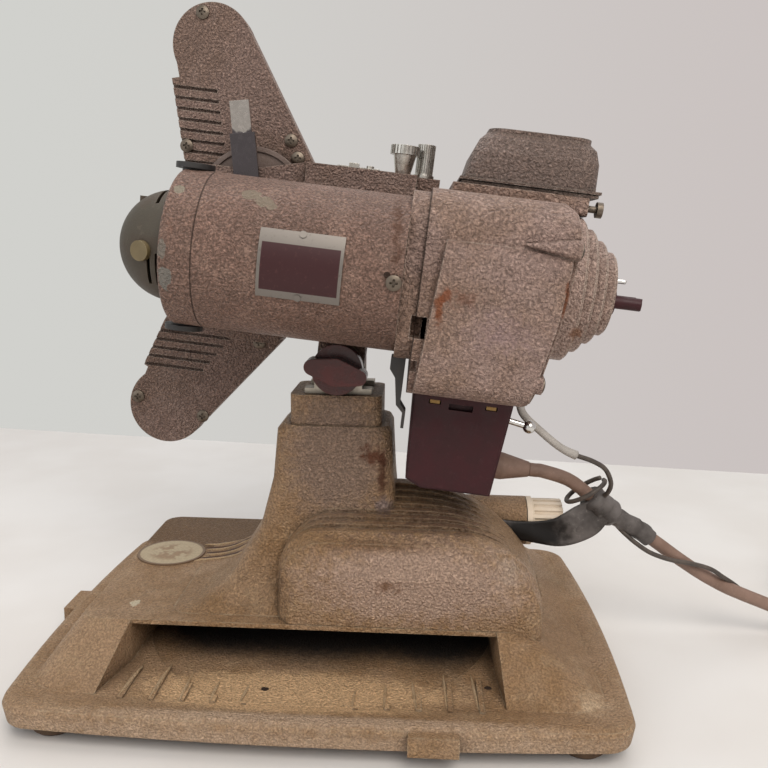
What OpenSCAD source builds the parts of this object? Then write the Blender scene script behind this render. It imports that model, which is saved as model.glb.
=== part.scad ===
// Portable 8 mm movie projector: a tilting head on a cast base that stores one reel.
// Millimetres, Z up. The nose points to -X, the motor side faces -Y, the film side +Y.

/* [Base casting] */
// Length of the base between its corners
base_l = 288; // [280:1:310]
// Width of the base between its corners
base_w = 205; // [200:1:220]
// How far each long or short edge bows out at its middle
edge_bow = 5.6; // [3:0.2:8]
// Radius of the corners of the base
base_corner_r = 15; // [10:1:20]
// Height of the rubber feet under the casting
foot_h = 8.5; // [6:0.5:12]
// Diameter of a rubber foot
foot_d = 22; // [16:1:26]
// Height of the ridge round the rim
rim_top = 19.4; // [19:0.1:22]
// Height of the floor of the reel tray
tray_top = 16.7; // [15:0.1:18]
// Thickness of the tray floor
tray_t = 4; // [3:0.5:5]
// Height of the raised deck
deck_top = 39; // [37:0.5:44]
// Thickness of the deck over the reel
deck_t = 2.5; // [2:0.1:4]
// Width of the reel opening at its face
slot_w = 182.8; // [180:0.2:186]
// Place of the middle of the reel opening along X
slot_x = -5.9; // [-7:0.1:-5]
// Diameter of the round recess under the reel
recess_d = 190; // [184:1:192]
// Depth of the recess under the reel
recess_depth = 1.5; // [1:0.1:2]
// Number of rest ribs on each side of the tray
rest_ribs = 5; // [3:1:5]
// Distance between two rest ribs
rest_pitch = 14.5; // [13:0.1:15]
// Width of a latch lug on the edge of the base
lug_w = 22.5; // [16:0.5:28]
// How far a latch lug stands out
lug_out = 5.4; // [4:0.1:7]
// Length of the bare oval badge
badge_l = 40; // [34:1:42]

/* [Pedestal] */
// Length of the cap of the column along X
cap_l = 48; // [44:1:52]
// Depth of the cap of the column along Y
cap_w = 42; // [40:1:46]
// Height of the top of the column
column_top = 149; // [149:1:149]
// Number of stepped ribs on the hump
hump_ribs = 8; // [5:1:8]
// Depth of one rib of the hump
hump_pitch = 5.5; // [5:0.1:6]
// Rise from one rib of the hump to the next
hump_rise = 2; // [1.4:0.1:2.2]
// Diameter of the tube behind the hump
knob_tube_d = 27.5; // [24:0.5:29]
// Length of the ribbed levelling knob
level_knob_l = 20; // [16:1:24]

/* [Tilt joint] */
// Height of the tilt axis
pivot_z = 163; // [163:1:168]
// Nose-up angle of the head at rest
head_tilt = 6; // [2:0.5:6]
// Radius of the ears round the tilt bolt
ear_r = 13.5; // [12:0.1:13.5]
// Radius of the tilt bolt
bolt_r = 5; // [4:0.25:6]
// Width of the tongue of the head between the ears
tongue_w = 17; // [14:0.5:18]
// Length of the wing bar of the tilt knob
wing_l = 32; // [28:1:36]

/* [Motor] */
// Outer diameter of the motor tube
tube_d = 73; // [68:0.5:74]
// Wall of the motor tube
tube_wall = 2.5; // [2:0.1:4]
// Height of the motor axis above the tilt axis
motor_w = 52.4; // [51:0.2:54]
// Distance of the motor axis in front of the tilt plane
motor_y = -40; // [-42:0.5:-39]
// Radius of the ventilated dome on the nose
dome_r = 26.2; // [24:0.2:28]
// Diameter of a brush cap
brush_d = 18; // [14:0.5:19]
// Radius of the armature
armature_r = 20; // [16:0.5:22]
// Radius of the motor shaft
shaft_r = 3; // [2.5:0.25:4]

/* [Lamp house] */
// Length of the lamp house along the head
house_l = 67; // [66:0.5:72]
// Depth of the lamp house across the head
house_w = 126; // [124:1:130]
// Wall of the lamp house
house_wall = 3; // [2:0.25:4]
// Radius of its long edges
house_r = 18; // [12:1:22]
// Largest radius of the stepped rear cover
ring_r = 36; // [34:0.5:38]
// Number of steps of the rear cover
ring_steps = 4; // [3:1:5]
// Depth of one step of the rear cover
ring_pitch = 6; // [5:0.25:6.25]
// Height of the lamp hood over its rails
hood_h = 24; // [20:1:28]
// Radius of the tubular lamp
lamp_r = 15; // [12:0.5:16]

/* [Arms and film path] */
// Radius of the round end of the feed arm
feed_end_r = 21.3; // [19:0.1:23]
// Radius of the round end of the take-up arm
take_end_r = 21.8; // [19:0.1:23]
// Thickness of an arm
arm_t = 12; // [10:0.5:13]
// Radius of a reel spindle
spindle_r = 3.95; // [3.5:0.05:4.5]
// Length of a reel spindle outside the arm
spindle_l = 26; // [20:1:30]
// Radius of the lens barrel
lens_r = 12.5; // [11:0.25:14]
// Length of the lens barrel
lens_l = 52; // [46:1:54]
// Radius of the core of a film sprocket
sprocket_r = 9; // [7:0.25:9.5]
// Number of teeth of a film sprocket
sprocket_teeth = 12; // [8:1:16]
// Diameter of the screw heads
screw_d = 7; // [5:0.5:8]

/* [Fits] */
// Radial clearance of a shaft that turns in its bore
run_fit = 0.06; // [0.03:0.01:0.09]
// Gap between two pieces that move past each other
gap = 0.4; // [0.3:0.05:0.6]

/* [Cord] */
// Diameter of the mains cord
cord_d = 7.6; // [7.6:0.1:7.6]
// Diameter of the thin wire
wire_d = 3; // [3:0.1:3]

/* [Hidden] */
$fn = 64;

// Shape of the base in plan
half_l = base_l / 2;
half_w = base_w / 2;
long_edge_r = (half_l * half_l + edge_bow * edge_bow) / (2 * edge_bow);
short_edge_r = (half_w * half_w + edge_bow * edge_bow) / (2 * edge_bow);
lug_z0 = foot_h + 0.5;
lug_z1 = foot_h + 10;
front_lug_x = 54;
left_lug_y = 4;
foot_x = half_l - 21;
foot_y = half_w - 17;

// Wings, deck and reel opening
wing_x = 140;
wing_y0 = -88;
wing_y1 = 96;
wing_z = 17.5;
deck_x0 = -124;
deck_x1 = 98;
deck_y0 = -55.5;
deck_y1 = 90;
slot_x0 = slot_x - slot_w / 2;
slot_x1 = slot_x + slot_w / 2;
slot_flare_l = 7.5;
slot_flare_r = 2.7;
slot_y1 = 88;
slot_top = deck_top - deck_t;
recess_y = 1;

// Column, hump and tilt ears
column_x = 1.5;
column_base_z = deck_top;
pivot_x = 2.4;
cap_z0 = column_top - 16;
ear_t = 8;
ear_in = tongue_w / 2 + gap / 2;
hump_y0 = -44;
hump_z0 = 84.5;
hump_x0 = -25;
hump_x1 = 109.5;
hump_back = 2;
hump_corner_a = 45;
hump_corner_b = 40;
hump_grow = 5;
knob_tube_y = 17.5;
knob_tube_z = 71;
knob_tube_x1 = 107;
knob_axle_r = 4;

// Head frame: u along the optical axis, y across, w up, from the tilt axis
optic_y = 42;
casting_y0 = -4.5;
casting_y1 = 32;
casting_w0 = 15;
casting_u0 = -87;
flange_u0 = 28;
house_u0 = 36;
house_u1 = house_u0 + house_l;
house_y0 = -66;
house_y1 = house_y0 + house_w;
house_w0 = -2;
house_w1 = motor_w + 41;
frame_w1 = house_w1 + 6.1;
rail_w = frame_w1 + 2;
hood_u0 = 50;
hood_u1 = 118;
hood_y0 = -18;
hood_y1 = house_y1 - 4;
rail_t = 1.8;
step_w = rail_w - 6.5;
hood_w0 = frame_w1 + 2 * rail_t;
tube_u0 = -64;
rim_u = -79;
dome_u = -81;
brush_u = -75;
ring_y = -12;
ring_w = 54;
ring_u0 = house_u1 + 3.5;
ring_u1 = ring_u0 + ring_steps * ring_pitch;
knob_w = 51;
knob_u1 = ring_u1 + 18;
chamber_u0 = 52;
chamber_u1 = house_u1 - 11;
chamber_y0 = 17;
chamber_y1 = house_y1 - house_wall;
chamber_w0 = 10;
lamp_u = (chamber_u0 + chamber_u1) / 2;
lamp_y = (chamber_y0 + chamber_y1) / 2;
feed_u = -88.5;
feed_w = 157;
louvre_w = feed_w - 18;
louvre_pitch = (louvre_w - step_w - 0.8) / 8;
take_u = -98.5;
take_w = -40.5;
arm_y0 = 20;
arm_y1 = arm_y0 + arm_t;
cover_t = 2;
disc_u = -58;
disc_w = 79;
disc_r = 28.5;
lever_y = 1;
sprocket_u = -18;
upper_sprocket_w = 86;
lower_sprocket_w = 19;
film_y = optic_y;
gate_u0 = -56;
lens_u1 = gate_u0 - 4;
plate_t = 3;
screw_t = 1.5;

// Bearing plate, fan, lever pivot and the bosses of the back: u and w
bearing_u = 19;
fan_u0 = house_u0 + 6;
lever_r = 4;
boss_r = 4.4;
boss_l = 24;
boss_y = house_y0 - 1;
boss_at = [[house_u1 + 0.3, 73], [house_u1 - 7.2, 12.5]];
// Stems of the two knobs on the rail: u, y and radius
top_knobs = [[20, 10, 3], [31, 20, 3]];
// Screws on the arm covers: u and w
arm_screw_at = [[feed_u - 6.5, feed_w + 15.5], [-98.3, step_w + 9.1],
  [-42, rail_w + 11.8], [-37.5, rail_w + 3.1], [take_u - 17.4, take_w + 2.8], [take_u + 20.8, take_w - 4],
  [-49, casting_w0 - 12.8]];
// Oil cap, and the bare plate on the motor tube: its two ends, its height and the turn of its rivets
oil_turn = [6, 0, -19];
oil_cap_r = 4.6;
plate_at = [-35, 2];
plate_h = 29.5;
plate_turn = 20.5;
// Moulded box under the lamp house: the u of its corners, and the inlet behind it
box_u = [39.5, 90, 84.7, 41.4];
box_y0 = -36;
box_y1 = -8;
box_w = -52.5;
inlet_y = 4;
inlet_w = -46.5;
inlet_u = 78;
toggle_u = 86;
toggle_y = -24;
toggle_w = -14;
toggle_r = 1.5;
// Strap from behind the hump, in front of the knob, to the cord; thin wire from the lamp house to the cord
strap_t = 1.2;
strap_w = 11;
strap_points = [[86, 2.62, 74], [104, 2.62, 73], [116, 2.62, 73], [124, 2.8, 73], [131, 3.2, 74.5], [138, 3.7, 77.5],
  [143, 4, 80.5], [147, 4, 83.5]];
wire_points = [[92.95, -16, 153.43], [96, -16, 149.5], [100, -15.5, 142], [112, -12, 130], [124, -7, 119], [134, -3, 114], [144, 0, 108], [149.5, 2.2, 99],
  [149, 3.4, 92], [146, 3.2, 89.5]];

// The whole object stands over the middle of its own bounding box
tilt_c = cos(head_tilt);
tilt_s = sin(head_tilt);
reach_left = half_l + edge_bow + lug_out;
reach_right = pivot_x + knob_u1 * tilt_c + (knob_w + 3) * tilt_s;
reach_front = half_w + edge_bow + lug_out - 2;
reach_back = half_w + edge_bow;
origin_x = (reach_left - reach_right) / 2;
origin_y = (reach_front - reach_back) / 2;

module place() translate([origin_x, origin_y, 0]) children();
module head() place() translate([pivot_x, 0, pivot_z]) rotate([0, head_tilt, 0]) children();

// A plan drawn in X and Z, standing between two values of Y
module upright(y0, y1) translate([0, y1, 0]) rotate([90, 0, 0]) linear_extrude(y1 - y0) children();
// A section drawn in Y and Z, running between two values of X
module along(x0, x1) translate([x0, 0, 0]) rotate([90, 0, 90]) linear_extrude(x1 - x0) children();
module rod_x(x0, x1, y, z, r) translate([x0, y, z]) rotate([0, 90, 0]) cylinder(r = r, h = x1 - x0);
module rod_y(y0, y1, x, z, r) translate([x, y1, z]) rotate([90, 0, 0]) cylinder(r = r, h = y1 - y0);
module rod_z(z0, z1, x, y, r) translate([x, y, z0]) cylinder(r = r, h = z1 - z0);
module block(a, b) translate(a) cube(b - a);
// A rectangle with round corners between two corners
module round_rect(a, b, r) {
  translate([a[0] + r, a[1]]) square([b[0] - a[0] - 2 * r, b[1] - a[1]]);
  translate([a[0], a[1] + r]) square([b[0] - a[0], b[1] - a[1] - 2 * r]);
  for (x = [a[0] + r, b[0] - r], y = [a[1] + r, b[1] - r]) translate([x, y]) circle(r = r);
}
// A thin level slice, for blending one outline into the next
module slice(z, a, b, r) translate([0, 0, z]) linear_extrude(0.02) round_rect(a, b, r, $fn = 32);

// Outline of the base: four shallow arcs with round corners, moved in by d
module base_outline(d) {
  offset(r = base_corner_r, $fn = 40) offset(delta = -base_corner_r - d) intersection_for (s = [-1, 1]) {
    intersection() {
      translate([0, s * (long_edge_r - half_w - edge_bow)]) circle(r = long_edge_r, $fn = 360);
      translate([s * (short_edge_r - half_l - edge_bow), 0]) circle(r = short_edge_r, $fn = 360);
      square([base_l + 4 * edge_bow, base_w + 4 * edge_bow], center = true);
    }
  }
}

module base_level(z, d) translate([0, 0, z]) linear_extrude(0.02) base_outline(d);

module lug(turn, out) rotate([0, 0, turn]) block([-lug_w / 2, -out, lug_z0], [lug_w / 2, -out + 12, lug_z1]);

// Plan of the reel opening, open to the front and flared there
module slot_plan() polygon([[slot_x0 - slot_flare_l, wing_y0], [slot_x0, deck_y0], [slot_x0, slot_y1],
  [slot_x1, slot_y1], [slot_x1, deck_y0], [slot_x1 + slot_flare_r, wing_y0]]);

// Raised rib on the tray; it runs back to the round recess
module rest_rib(x) {
  back = min(recess_y - sqrt(max(pow(recess_d / 2, 2) - pow(x - slot_x, 2), 0)), -62);
  block([x - 1.2, wing_y0 - 2, tray_top - 1], [x + 1.2, back, tray_top + 1.1]);
}

// Wings that rise to the raised deck
module deck_form() hull() {
  slice(wing_z - 2, [-wing_x, wing_y0], [wing_x, wing_y1], 12);
  slice(deck_top - 0.02, [deck_x0, deck_y0], [deck_x1, deck_y1], 10);
}

module base_casting() color([0.56, 0.47, 0.38]) place() {
  difference() {
    union() {
      hull() {
        base_level(foot_h, 1);
        base_level(rim_top - 3, 0);
      }
      difference() {
        hull() {
          base_level(rim_top - 3.1, 0);
          base_level(rim_top - 1, 0.8);
          base_level(rim_top - 0.02, 3);
        }
        hull() {
          base_level(tray_top, 19);
          base_level(rim_top, 7);
        }
      }
      deck_form();
      translate([front_lug_x, 0, 0]) lug(0, reach_front);
      translate([0, left_lug_y, 0]) lug(-90, reach_left);
    }
    // Reel store under the deck, open above in front of it
    translate([0, 0, tray_top]) linear_extrude(slot_top - tray_top) slot_plan();
    intersection() {
      translate([0, 0, tray_top]) linear_extrude(deck_top) slot_plan();
      block([slot_x0 - 20, wing_y0 - 1, tray_top], [slot_x1 + 20, deck_y0, deck_top + 5]);
    }
    intersection() {
      rod_z(tray_top - recess_depth, tray_top + 1, slot_x, recess_y, recess_d / 2);
      block([slot_x0, wing_y0 + 1, 0], [slot_x1, slot_y1, deck_top]);
    }
    // Hollow underside with a pad over each foot
    difference() {
      translate([0, 0, foot_h - 1]) linear_extrude(tray_top - tray_t - foot_h + 1) base_outline(5);
      for (x = [-foot_x, foot_x], y = [-foot_y, foot_y]) rod_z(foot_h, tray_top, x, y, foot_d / 2 + 2);
      for (x = [-foot_x + 60, 0, foot_x - 60]) block([x - 1.5, -half_w, 0], [x + 1.5, half_w, tray_top]);
    }
  }
  for (i = [0:rest_ribs - 1]) {
    rest_rib(slot_x0 + 6.3 + i * rest_pitch);
    rest_rib(slot_x1 - 8.9 - i * rest_pitch);
  }
}

module rubber_feet() color([0.18, 0.13, 0.11]) place() for (x = [-foot_x, foot_x], y = [-foot_y, foot_y])
  translate([x, y, 0]) difference() {
    rotate_extrude() polygon([[0, 0], [foot_d / 2 - 1.5, 0], [foot_d / 2, 1.5], [foot_d / 2, foot_h - 2],
      [foot_d / 2 - 1, foot_h], [0, foot_h]]);
    translate([0, 0, -1]) cylinder(r = screw_d / 2 + 1, h = 4);
  }

module foot_screws() color([0.6, 0.58, 0.54]) place() for (x = [-foot_x, foot_x], y = [-foot_y, foot_y])
  translate([x, y, 3]) mirror([0, 0, 1]) pan_head();

// Domed screw head on the plane Z = 0, with a cross recess
module pan_head() difference() {
  intersection() {
    cylinder(r = screw_d / 2, h = screw_t, $fn = 32);
    translate([0, 0, screw_t - screw_d]) sphere(r = screw_d, $fn = 48);
  }
  for (a = [0, 90]) rotate([0, 0, a]) translate([-screw_d / 4, -0.5, screw_t - 0.8]) cube([screw_d / 2, 1, 2]);
}

module badge_plate() color([0.62, 0.6, 0.54]) place() translate([-103, 27.7, deck_top]) linear_extrude(0.8)
  scale([1, 0.94]) circle(d = badge_l);

// Column slices: height, half length to the left, to the right, half depth
function column_slice(k) = [[deck_top, 82, 60, 48], [deck_top + 3, 70, 51, 42], [deck_top + 13, 55, 43, 35.5],
  [78, 39.5, 33.3, 28.2], [104, 33, 31, 26], [cap_z0 - 3, 31, 29.5, 24], [cap_z0, 28, 28, 22.5]][k];
module column_level(k) {
  s = column_slice(k);
  slice(s[0], [column_x - s[1], -s[3]], [column_x + s[2], s[3]], 9);
}

// Front view of one rib of the hump, with its long round right shoulder; the ribs meet low on the right
module rib_front(left, right, top, k = 0) {
  a = hump_corner_a + k * hump_grow;
  b = min(hump_corner_b + k * hump_grow, top - deck_top + 18);
  shoulder = [for (i = [0:9]) [right - a * (1 - cos(i * 10)), top - b * (1 - sin(i * 10))]];
  polygon(concat([[left, deck_top - 18], [right, deck_top - 18]], shoulder,
    [for (i = [0:6]) [left + 22 * (1 - sin(i * 15)), top - 22 * (1 - cos(i * 15))]]));
}

module pedestal() color([0.55, 0.47, 0.4]) place() difference() {
  union() {
    for (k = [0:5]) hull() {
      column_level(k);
      column_level(k + 1);
    }
    translate([0, 0, cap_z0]) linear_extrude(column_top - cap_z0)
      round_rect([column_x - cap_l / 2, -cap_w / 2], [column_x + cap_l / 2, cap_w / 2], 5);
    hull() {
      upright(hump_y0, hump_y0 + 1) rib_front(hump_x0, hump_x1, hump_z0);
      upright(hump_y0 - 6, hump_y0 - 5) rib_front(hump_x0 + 2, hump_x1 - 1, hump_z0 - 4);
      upright(deck_y0 + 0.5, deck_y0 + 1.5) rib_front(hump_x0 + 7, hump_x1 - 4, hump_z0 - 20);
    }
    for (k = [0:hump_ribs - 1]) upright(hump_y0 + k * hump_pitch, hump_back)
      rib_front(hump_x0 + 2 * k, hump_x1 + k, hump_z0 + k * hump_rise, k);
  }
  deck_form();
  rod_x(0, knob_tube_x1 + 30, knob_tube_y, knob_tube_z, knob_tube_d / 2 + 0.05);
}

// Tube behind the hump that carries the levelling knob
module knob_tube() color([0.55, 0.47, 0.4]) place() difference() {
  rod_x(0, knob_tube_x1, knob_tube_y, knob_tube_z, knob_tube_d / 2);
  rod_x(40, knob_tube_x1 - 6, knob_tube_y, knob_tube_z, knob_tube_d / 2 - 3);
  rod_x(30, knob_tube_x1 + 1, knob_tube_y, knob_tube_z, knob_axle_r + run_fit);
}

module levelling_knob() color([0.84, 0.78, 0.66]) place() translate([0, knob_tube_y, knob_tube_z]) {
  x0 = knob_tube_x1 + gap;
  rod_x(31, x0 + 2, 0, 0, knob_axle_r);
  rod_x(42, 52, 0, 0, knob_axle_r + 4);
  rod_x(x0, x0 + 3, 0, 0, knob_tube_d / 2);
  difference() {
    rod_x(x0 + 3, x0 + level_knob_l, 0, 0, knob_tube_d / 2 - 1);
    for (a = [0:20:340]) rotate([a, 0, 0]) translate([x0 + 4, knob_tube_d / 2 - 1, 0]) rotate([0, 90, 0])
      cylinder(r = 1.1, h = level_knob_l, $fn = 16);
  }
}

module neck_fork() color([0.72, 0.69, 0.64]) place() difference() {
  union() {
    block([pivot_x - ear_r - 4, -ear_in - ear_t, column_top], [pivot_x + ear_r + 4, ear_in + ear_t, column_top + 3]);
    for (y = [-ear_in - ear_t, ear_in]) {
      rod_y(y, y + ear_t, pivot_x, pivot_z, ear_r - 1);
      block([pivot_x - ear_r + 1, y, column_top], [pivot_x + ear_r - 1, y + ear_t, pivot_z]);
    }
  }
  block([-half_l, -ear_in, column_top + 3], [half_l, ear_in, 2 * pivot_z]);
  block([-half_l, -ear_in, pivot_z - ear_r - gap], [half_l, ear_in, pivot_z]);
  rod_y(-half_w, half_w, pivot_x, pivot_z, bolt_r + 0.02);
}

module tilt_bolt() color([0.7, 0.7, 0.68]) place() {
  rod_y(-ear_in - ear_t - 15, ear_in + ear_t, pivot_x, pivot_z, bolt_r);
  rod_y(ear_in + ear_t, ear_in + ear_t + 4, pivot_x, pivot_z, bolt_r + 3);
}

module tilt_knob() color([0.3, 0.09, 0.08]) place() translate([pivot_x, -ear_in - ear_t - gap, pivot_z]) difference() {
  union() {
    rod_y(-8, 0, 0, 0, 13);
    rotate([0, 12, 0]) hull() {
      for (x = [-wing_l / 2 + 4, wing_l / 2 - 4]) rod_y(-16, -4.5, x, 0, 4);
      rod_y(-16, -4.5, 0, 0, 7);
    }
  }
  rod_y(-15.5, 1, 0, 0, bolt_r + run_fit);
}

// Side view of the mechanism casting with its tongue for the tilt bolt
module casting_side() polygon([[casting_u0, casting_w0 - 2], [casting_u0, rail_w - 10.5], [-84, step_w], [-60, step_w], [-32, rail_w],
  [flange_u0, rail_w], [flange_u0, casting_w0], [-22, casting_w0], [-30, 12], [-36, 6], [-60, 6]]);

module mechanism_casting() color([0.45, 0.39, 0.36]) head() difference() {
  union() {
    upright(casting_y0, casting_y1) casting_side();
    block([flange_u0 - 1, casting_y1 - 24, house_w1 + 0.02], [hood_u0 - 10, casting_y1, rail_w]);
    // Tongue between the ears
    rod_y(-tongue_w / 2, tongue_w / 2, 0, 0, ear_r - 1);
    block([1 - ear_r, -tongue_w / 2, 0], [ear_r - 1, tongue_w / 2, casting_w0 + 1]);
  }
  rod_x(-200, 200, motor_y, motor_w, tube_d / 2 + 0.02);
  rod_y(-half_w, half_w, 0, 0, bolt_r + run_fit);
  // Room for the shutter shaft, the drive and the arms
  block([-60, casting_y0 + 12, 45], [20, casting_y1 + 1, 78]);
  for (w = [upper_sprocket_w, lower_sprocket_w]) rod_y(casting_y0 + 14, casting_y1 + 1, sprocket_u, w, shaft_r + run_fit);
  rod_y(casting_y0 - 1, arm_y0, disc_u, disc_w, lever_r + run_fit);
  block([casting_u0 - 5, casting_y0 - 1, disc_w - 12], [-29, lever_y + 2 + gap, rail_w + 1]);
  for (k = top_knobs) rod_z(rail_w - 12, rail_w + 1, k[0], k[1], k[2] + run_fit);
  lens_channel();
}

// Round channel that the lens holder lies in
module lens_channel() rod_x(casting_u0 - 1, gate_u0 + 0.02, film_y + 2, motor_w, lens_r + 3.02);

module feed_side() difference() {
  union() {
    translate([feed_u, feed_w]) circle(r = feed_end_r);
    polygon([[feed_u - feed_end_r, feed_w], [-105, louvre_w], [-109, louvre_w - 1], [-98, 92], [-92, 60], [-20, 60], [-20, 90],
      [-29, 103.5], [feed_u + feed_end_r * 0.9, feed_w + feed_end_r * 0.44]]);
  }
  casting_side();
  translate([-92, 50]) square([80, 44]);
}

module take_side() difference() {
  union() {
    translate([take_u, take_w]) circle(r = take_end_r);
    polygon([[take_u + take_end_r * 0.8, take_w - take_end_r * 0.58], [-36, 5], [-36, 8], [-60, 8], [-66, 7], [-88, 7],
      [-88, 20], [-98, 20], [-104, 8], [-114, -18.5], [-111.5, -19.8], [take_u - take_end_r * 0.9, take_w]]);
  }
  casting_side();
}

// Hollow arm, open towards the cover, with a bearing boss for its spindle
module arm_shell(u, w) difference() {
  upright(arm_y0 + cover_t, arm_y1) children(0);
  rod_y(arm_y0 + cover_t - 1, arm_y1 - 3, u, w, 15);
  rod_y(0, arm_y1 + 1, u, w, spindle_r + run_fit);
}

module feed_arm() color([0.43, 0.38, 0.35]) head() arm_shell(feed_u, feed_w) feed_side();
module take_up_arm() color([0.43, 0.38, 0.35]) head() arm_shell(take_u, take_w) take_side();

// Louvres pressed into a cover: grooves from the front edge to a slanting line
module grooves(count, u0, u1, w_top, pitch, lean) for (k = [0:count - 1])
  block([u0, arm_y0 - 1, w_top - k * pitch - 0.8], [u1 + k * lean, arm_y0 + 1.1, w_top - k * pitch + 0.8]);

module feed_arm_cover() color([0.43, 0.38, 0.35]) head() difference() {
  upright(arm_y0, arm_y0 + cover_t) feed_side();
  grooves(8, -115, -84, louvre_w - 5, louvre_pitch, 1.2);
}

module take_up_cover() color([0.43, 0.38, 0.35]) head() difference() {
  upright(arm_y0, arm_y0 + cover_t) take_side();
  grooves(5, -120, -66, 2.2, 5, -3.4);
}

module arm_screws() color([0.35, 0.32, 0.3]) head() for (s = arm_screw_at)
  translate([s[0], arm_y0, s[1]]) rotate([90, 0, 0]) pan_head();

module spindle(u, w) {
  rod_y(arm_y0 + cover_t + 1, arm_y1 + spindle_l, u, w, spindle_r);
  rod_y(arm_y0 + cover_t + 2, arm_y1 - 3.5, u, w, 11);
  rod_y(arm_y1 + gap, arm_y1 + 3, u, w, 9);
}

module feed_spindle() color([0.75, 0.75, 0.73]) head() spindle(feed_u, feed_w);
module take_up_spindle() color([0.75, 0.75, 0.73]) head() spindle(take_u, take_w);

module film_plate() color([0.4, 0.35, 0.32]) head() difference() {
  upright(casting_y1, casting_y1 + plate_t) round_rect([-66, casting_w0 + 1], [flange_u0 - 0.5, rail_w - 1], 6);
  for (w = [upper_sprocket_w, lower_sprocket_w]) rod_y(0, 80, sprocket_u, w, shaft_r + run_fit);
  lens_channel();
}

// Motor tube with the plate of the rear bearing
module motor_tube() color([0.57, 0.47, 0.42]) head() difference() {
  rod_x(tube_u0, flange_u0, motor_y, motor_w, tube_d / 2);
  rod_x(tube_u0 - 1, bearing_u, motor_y, motor_w, tube_d / 2 - tube_wall);
  rod_x(bearing_u + 4, flange_u0 + 1, motor_y, motor_w, tube_d / 2 - tube_wall);
  rod_x(bearing_u - 1, bearing_u + 5, motor_y, motor_w, shaft_r + run_fit);
  for (a = [0:60:300]) translate([bearing_u - 1, motor_y, motor_w]) rotate([a, 0, 0]) rod_x(0, 6, 0, 19, 7);
}

module motor_end_shield() color([0.57, 0.47, 0.42]) head() difference() {
  translate([rim_u, motor_y, motor_w]) rotate([0, 90, 0]) rotate_extrude() {
    depth = tube_u0 - rim_u;
    difference() {
      union() {
        square([tube_d / 2 - 2, depth]);
        translate([0, 2]) square([tube_d / 2, depth - 2]);
        translate([tube_d / 2 - 2, 2]) circle(r = 2);
        translate([0, depth]) square([tube_d / 2 - tube_wall - 0.02, 4]);
      }
      translate([shaft_r + 6, 3]) square([tube_d / 2 - tube_wall - 4 - shaft_r - 6, depth + 8]);
      translate([0, 3 + 5]) square([shaft_r + 6, depth + 8]);
      square([shaft_r + run_fit, 40]);
    }
  }
  for (s = [-1, 1]) translate([brush_u, motor_y, motor_w]) mirror([0, 0, s < 0 ? 1 : 0])
    cylinder(r = brush_d / 2 - 3, h = tube_d);
}

module motor_dome() color([0.53, 0.52, 0.44]) head() difference() {
  union() {
    intersection() {
      translate([dome_u, motor_y, motor_w]) sphere(r = dome_r, $fn = 72);
      block([dome_u - 50, -200, -200], [rim_u, 200, 200]);
    }
    // Small lip at the upper front
    block([-99, motor_y - 4, motor_w + 18], [-93, motor_y + 4, motor_w + 21.5]);
  }
  intersection() {
    translate([dome_u, motor_y, motor_w]) sphere(r = dome_r - 1.8, $fn = 72);
    block([dome_u - 50, -200, -200], [rim_u + 1, 200, 200]);
  }
  translate([dome_u, motor_y, motor_w]) rotate(oil_turn) rod_y(-dome_r - 3, -dome_r + 5, 0, 0, oil_cap_r + 0.02);
  for (a = [25:90:295], d = [0, 1]) translate([rim_u - 4 - 4 * d, motor_y, motor_w]) rotate([a, 0, 0])
    translate([0, -8, 14]) cube([1.6, 16, 20]);
}

// Oil cap on the near side of the dome
module oil_cap() color([0.8, 0.74, 0.6]) head() translate([dome_u, motor_y, motor_w]) rotate(oil_turn)
  rod_y(-dome_r - 2, -dome_r + 1, 0, 0, oil_cap_r);

module brush_caps() color([0.08, 0.08, 0.08]) head() for (s = [0, 1]) translate([brush_u, motor_y, motor_w]) mirror([0, 0, s]) {
  translate([0, 0, tube_d / 2]) cylinder(r = brush_d / 2, h = 2.6);
  translate([0, 0, tube_d / 2 - 8]) cylinder(r = brush_d / 2 - 3.02, h = 9);
}

module stator() color([0.4, 0.4, 0.42]) head() difference() {
  rod_x(-46, 6, motor_y, motor_w, tube_d / 2 - tube_wall - 0.02);
  rod_x(-47, 7, motor_y, motor_w, armature_r + 1);
  // Room for the field windings
  for (s = [0, 1]) translate([0, motor_y, motor_w]) rotate([180 * s, 0, 0])
    block([-47, -9, armature_r - 1], [7, 9, tube_d / 2 - tube_wall - 3]);
}

module rotor() color([0.6, 0.45, 0.3]) head() {
  rod_x(rim_u - 8, house_u0 + 22, motor_y, motor_w, shaft_r);
  difference() {
    rod_x(-44, 4, motor_y, motor_w, armature_r);
    for (a = [0:30:330]) translate([-45, motor_y, motor_w]) rotate([a, 0, 0]) block([0, -1.5, armature_r - 4], [50, 1.5, armature_r + 1]);
  }
  rod_x(-58, -48, motor_y, motor_w, 11);
}

module cooling_fan() color([0.62, 0.62, 0.6]) head() translate([fan_u0, motor_y, motor_w]) difference() {
  union() {
    rod_x(0, 12, 0, 0, 8);
    rod_x(0, 1.5, 0, 0, 20);
    for (a = [0:30:330]) rotate([a, 0, 0]) block([0, -0.6, 7], [12, 0.6, 20]);
  }
  rod_x(-1, 13, 0, 0, shaft_r + 0.01);
}

// Bare plate curved round the motor tube
module instruction_plate() color([0.7, 0.69, 0.67]) head() {
  translate([0, motor_y, motor_w]) intersection() {
    difference() {
      rod_x(plate_at[0], plate_at[1], 0, 0, tube_d / 2 + 0.7);
      rod_x(plate_at[0] - 1, plate_at[1] + 1, 0, 0, tube_d / 2);
    }
    rotate([1, 0, 0]) block([-100, -60, -plate_h / 2], [100, 0, plate_h / 2]);
  }
  for (a = [-plate_turn, plate_turn + 2]) translate([(plate_at[0] + plate_at[1]) / 2, motor_y, motor_w]) rotate([a, 0, 0])
    rod_y(-tube_d / 2 - 1.2, -tube_d / 2 - 0.02, 0, 0, 1.6);
}

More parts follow.
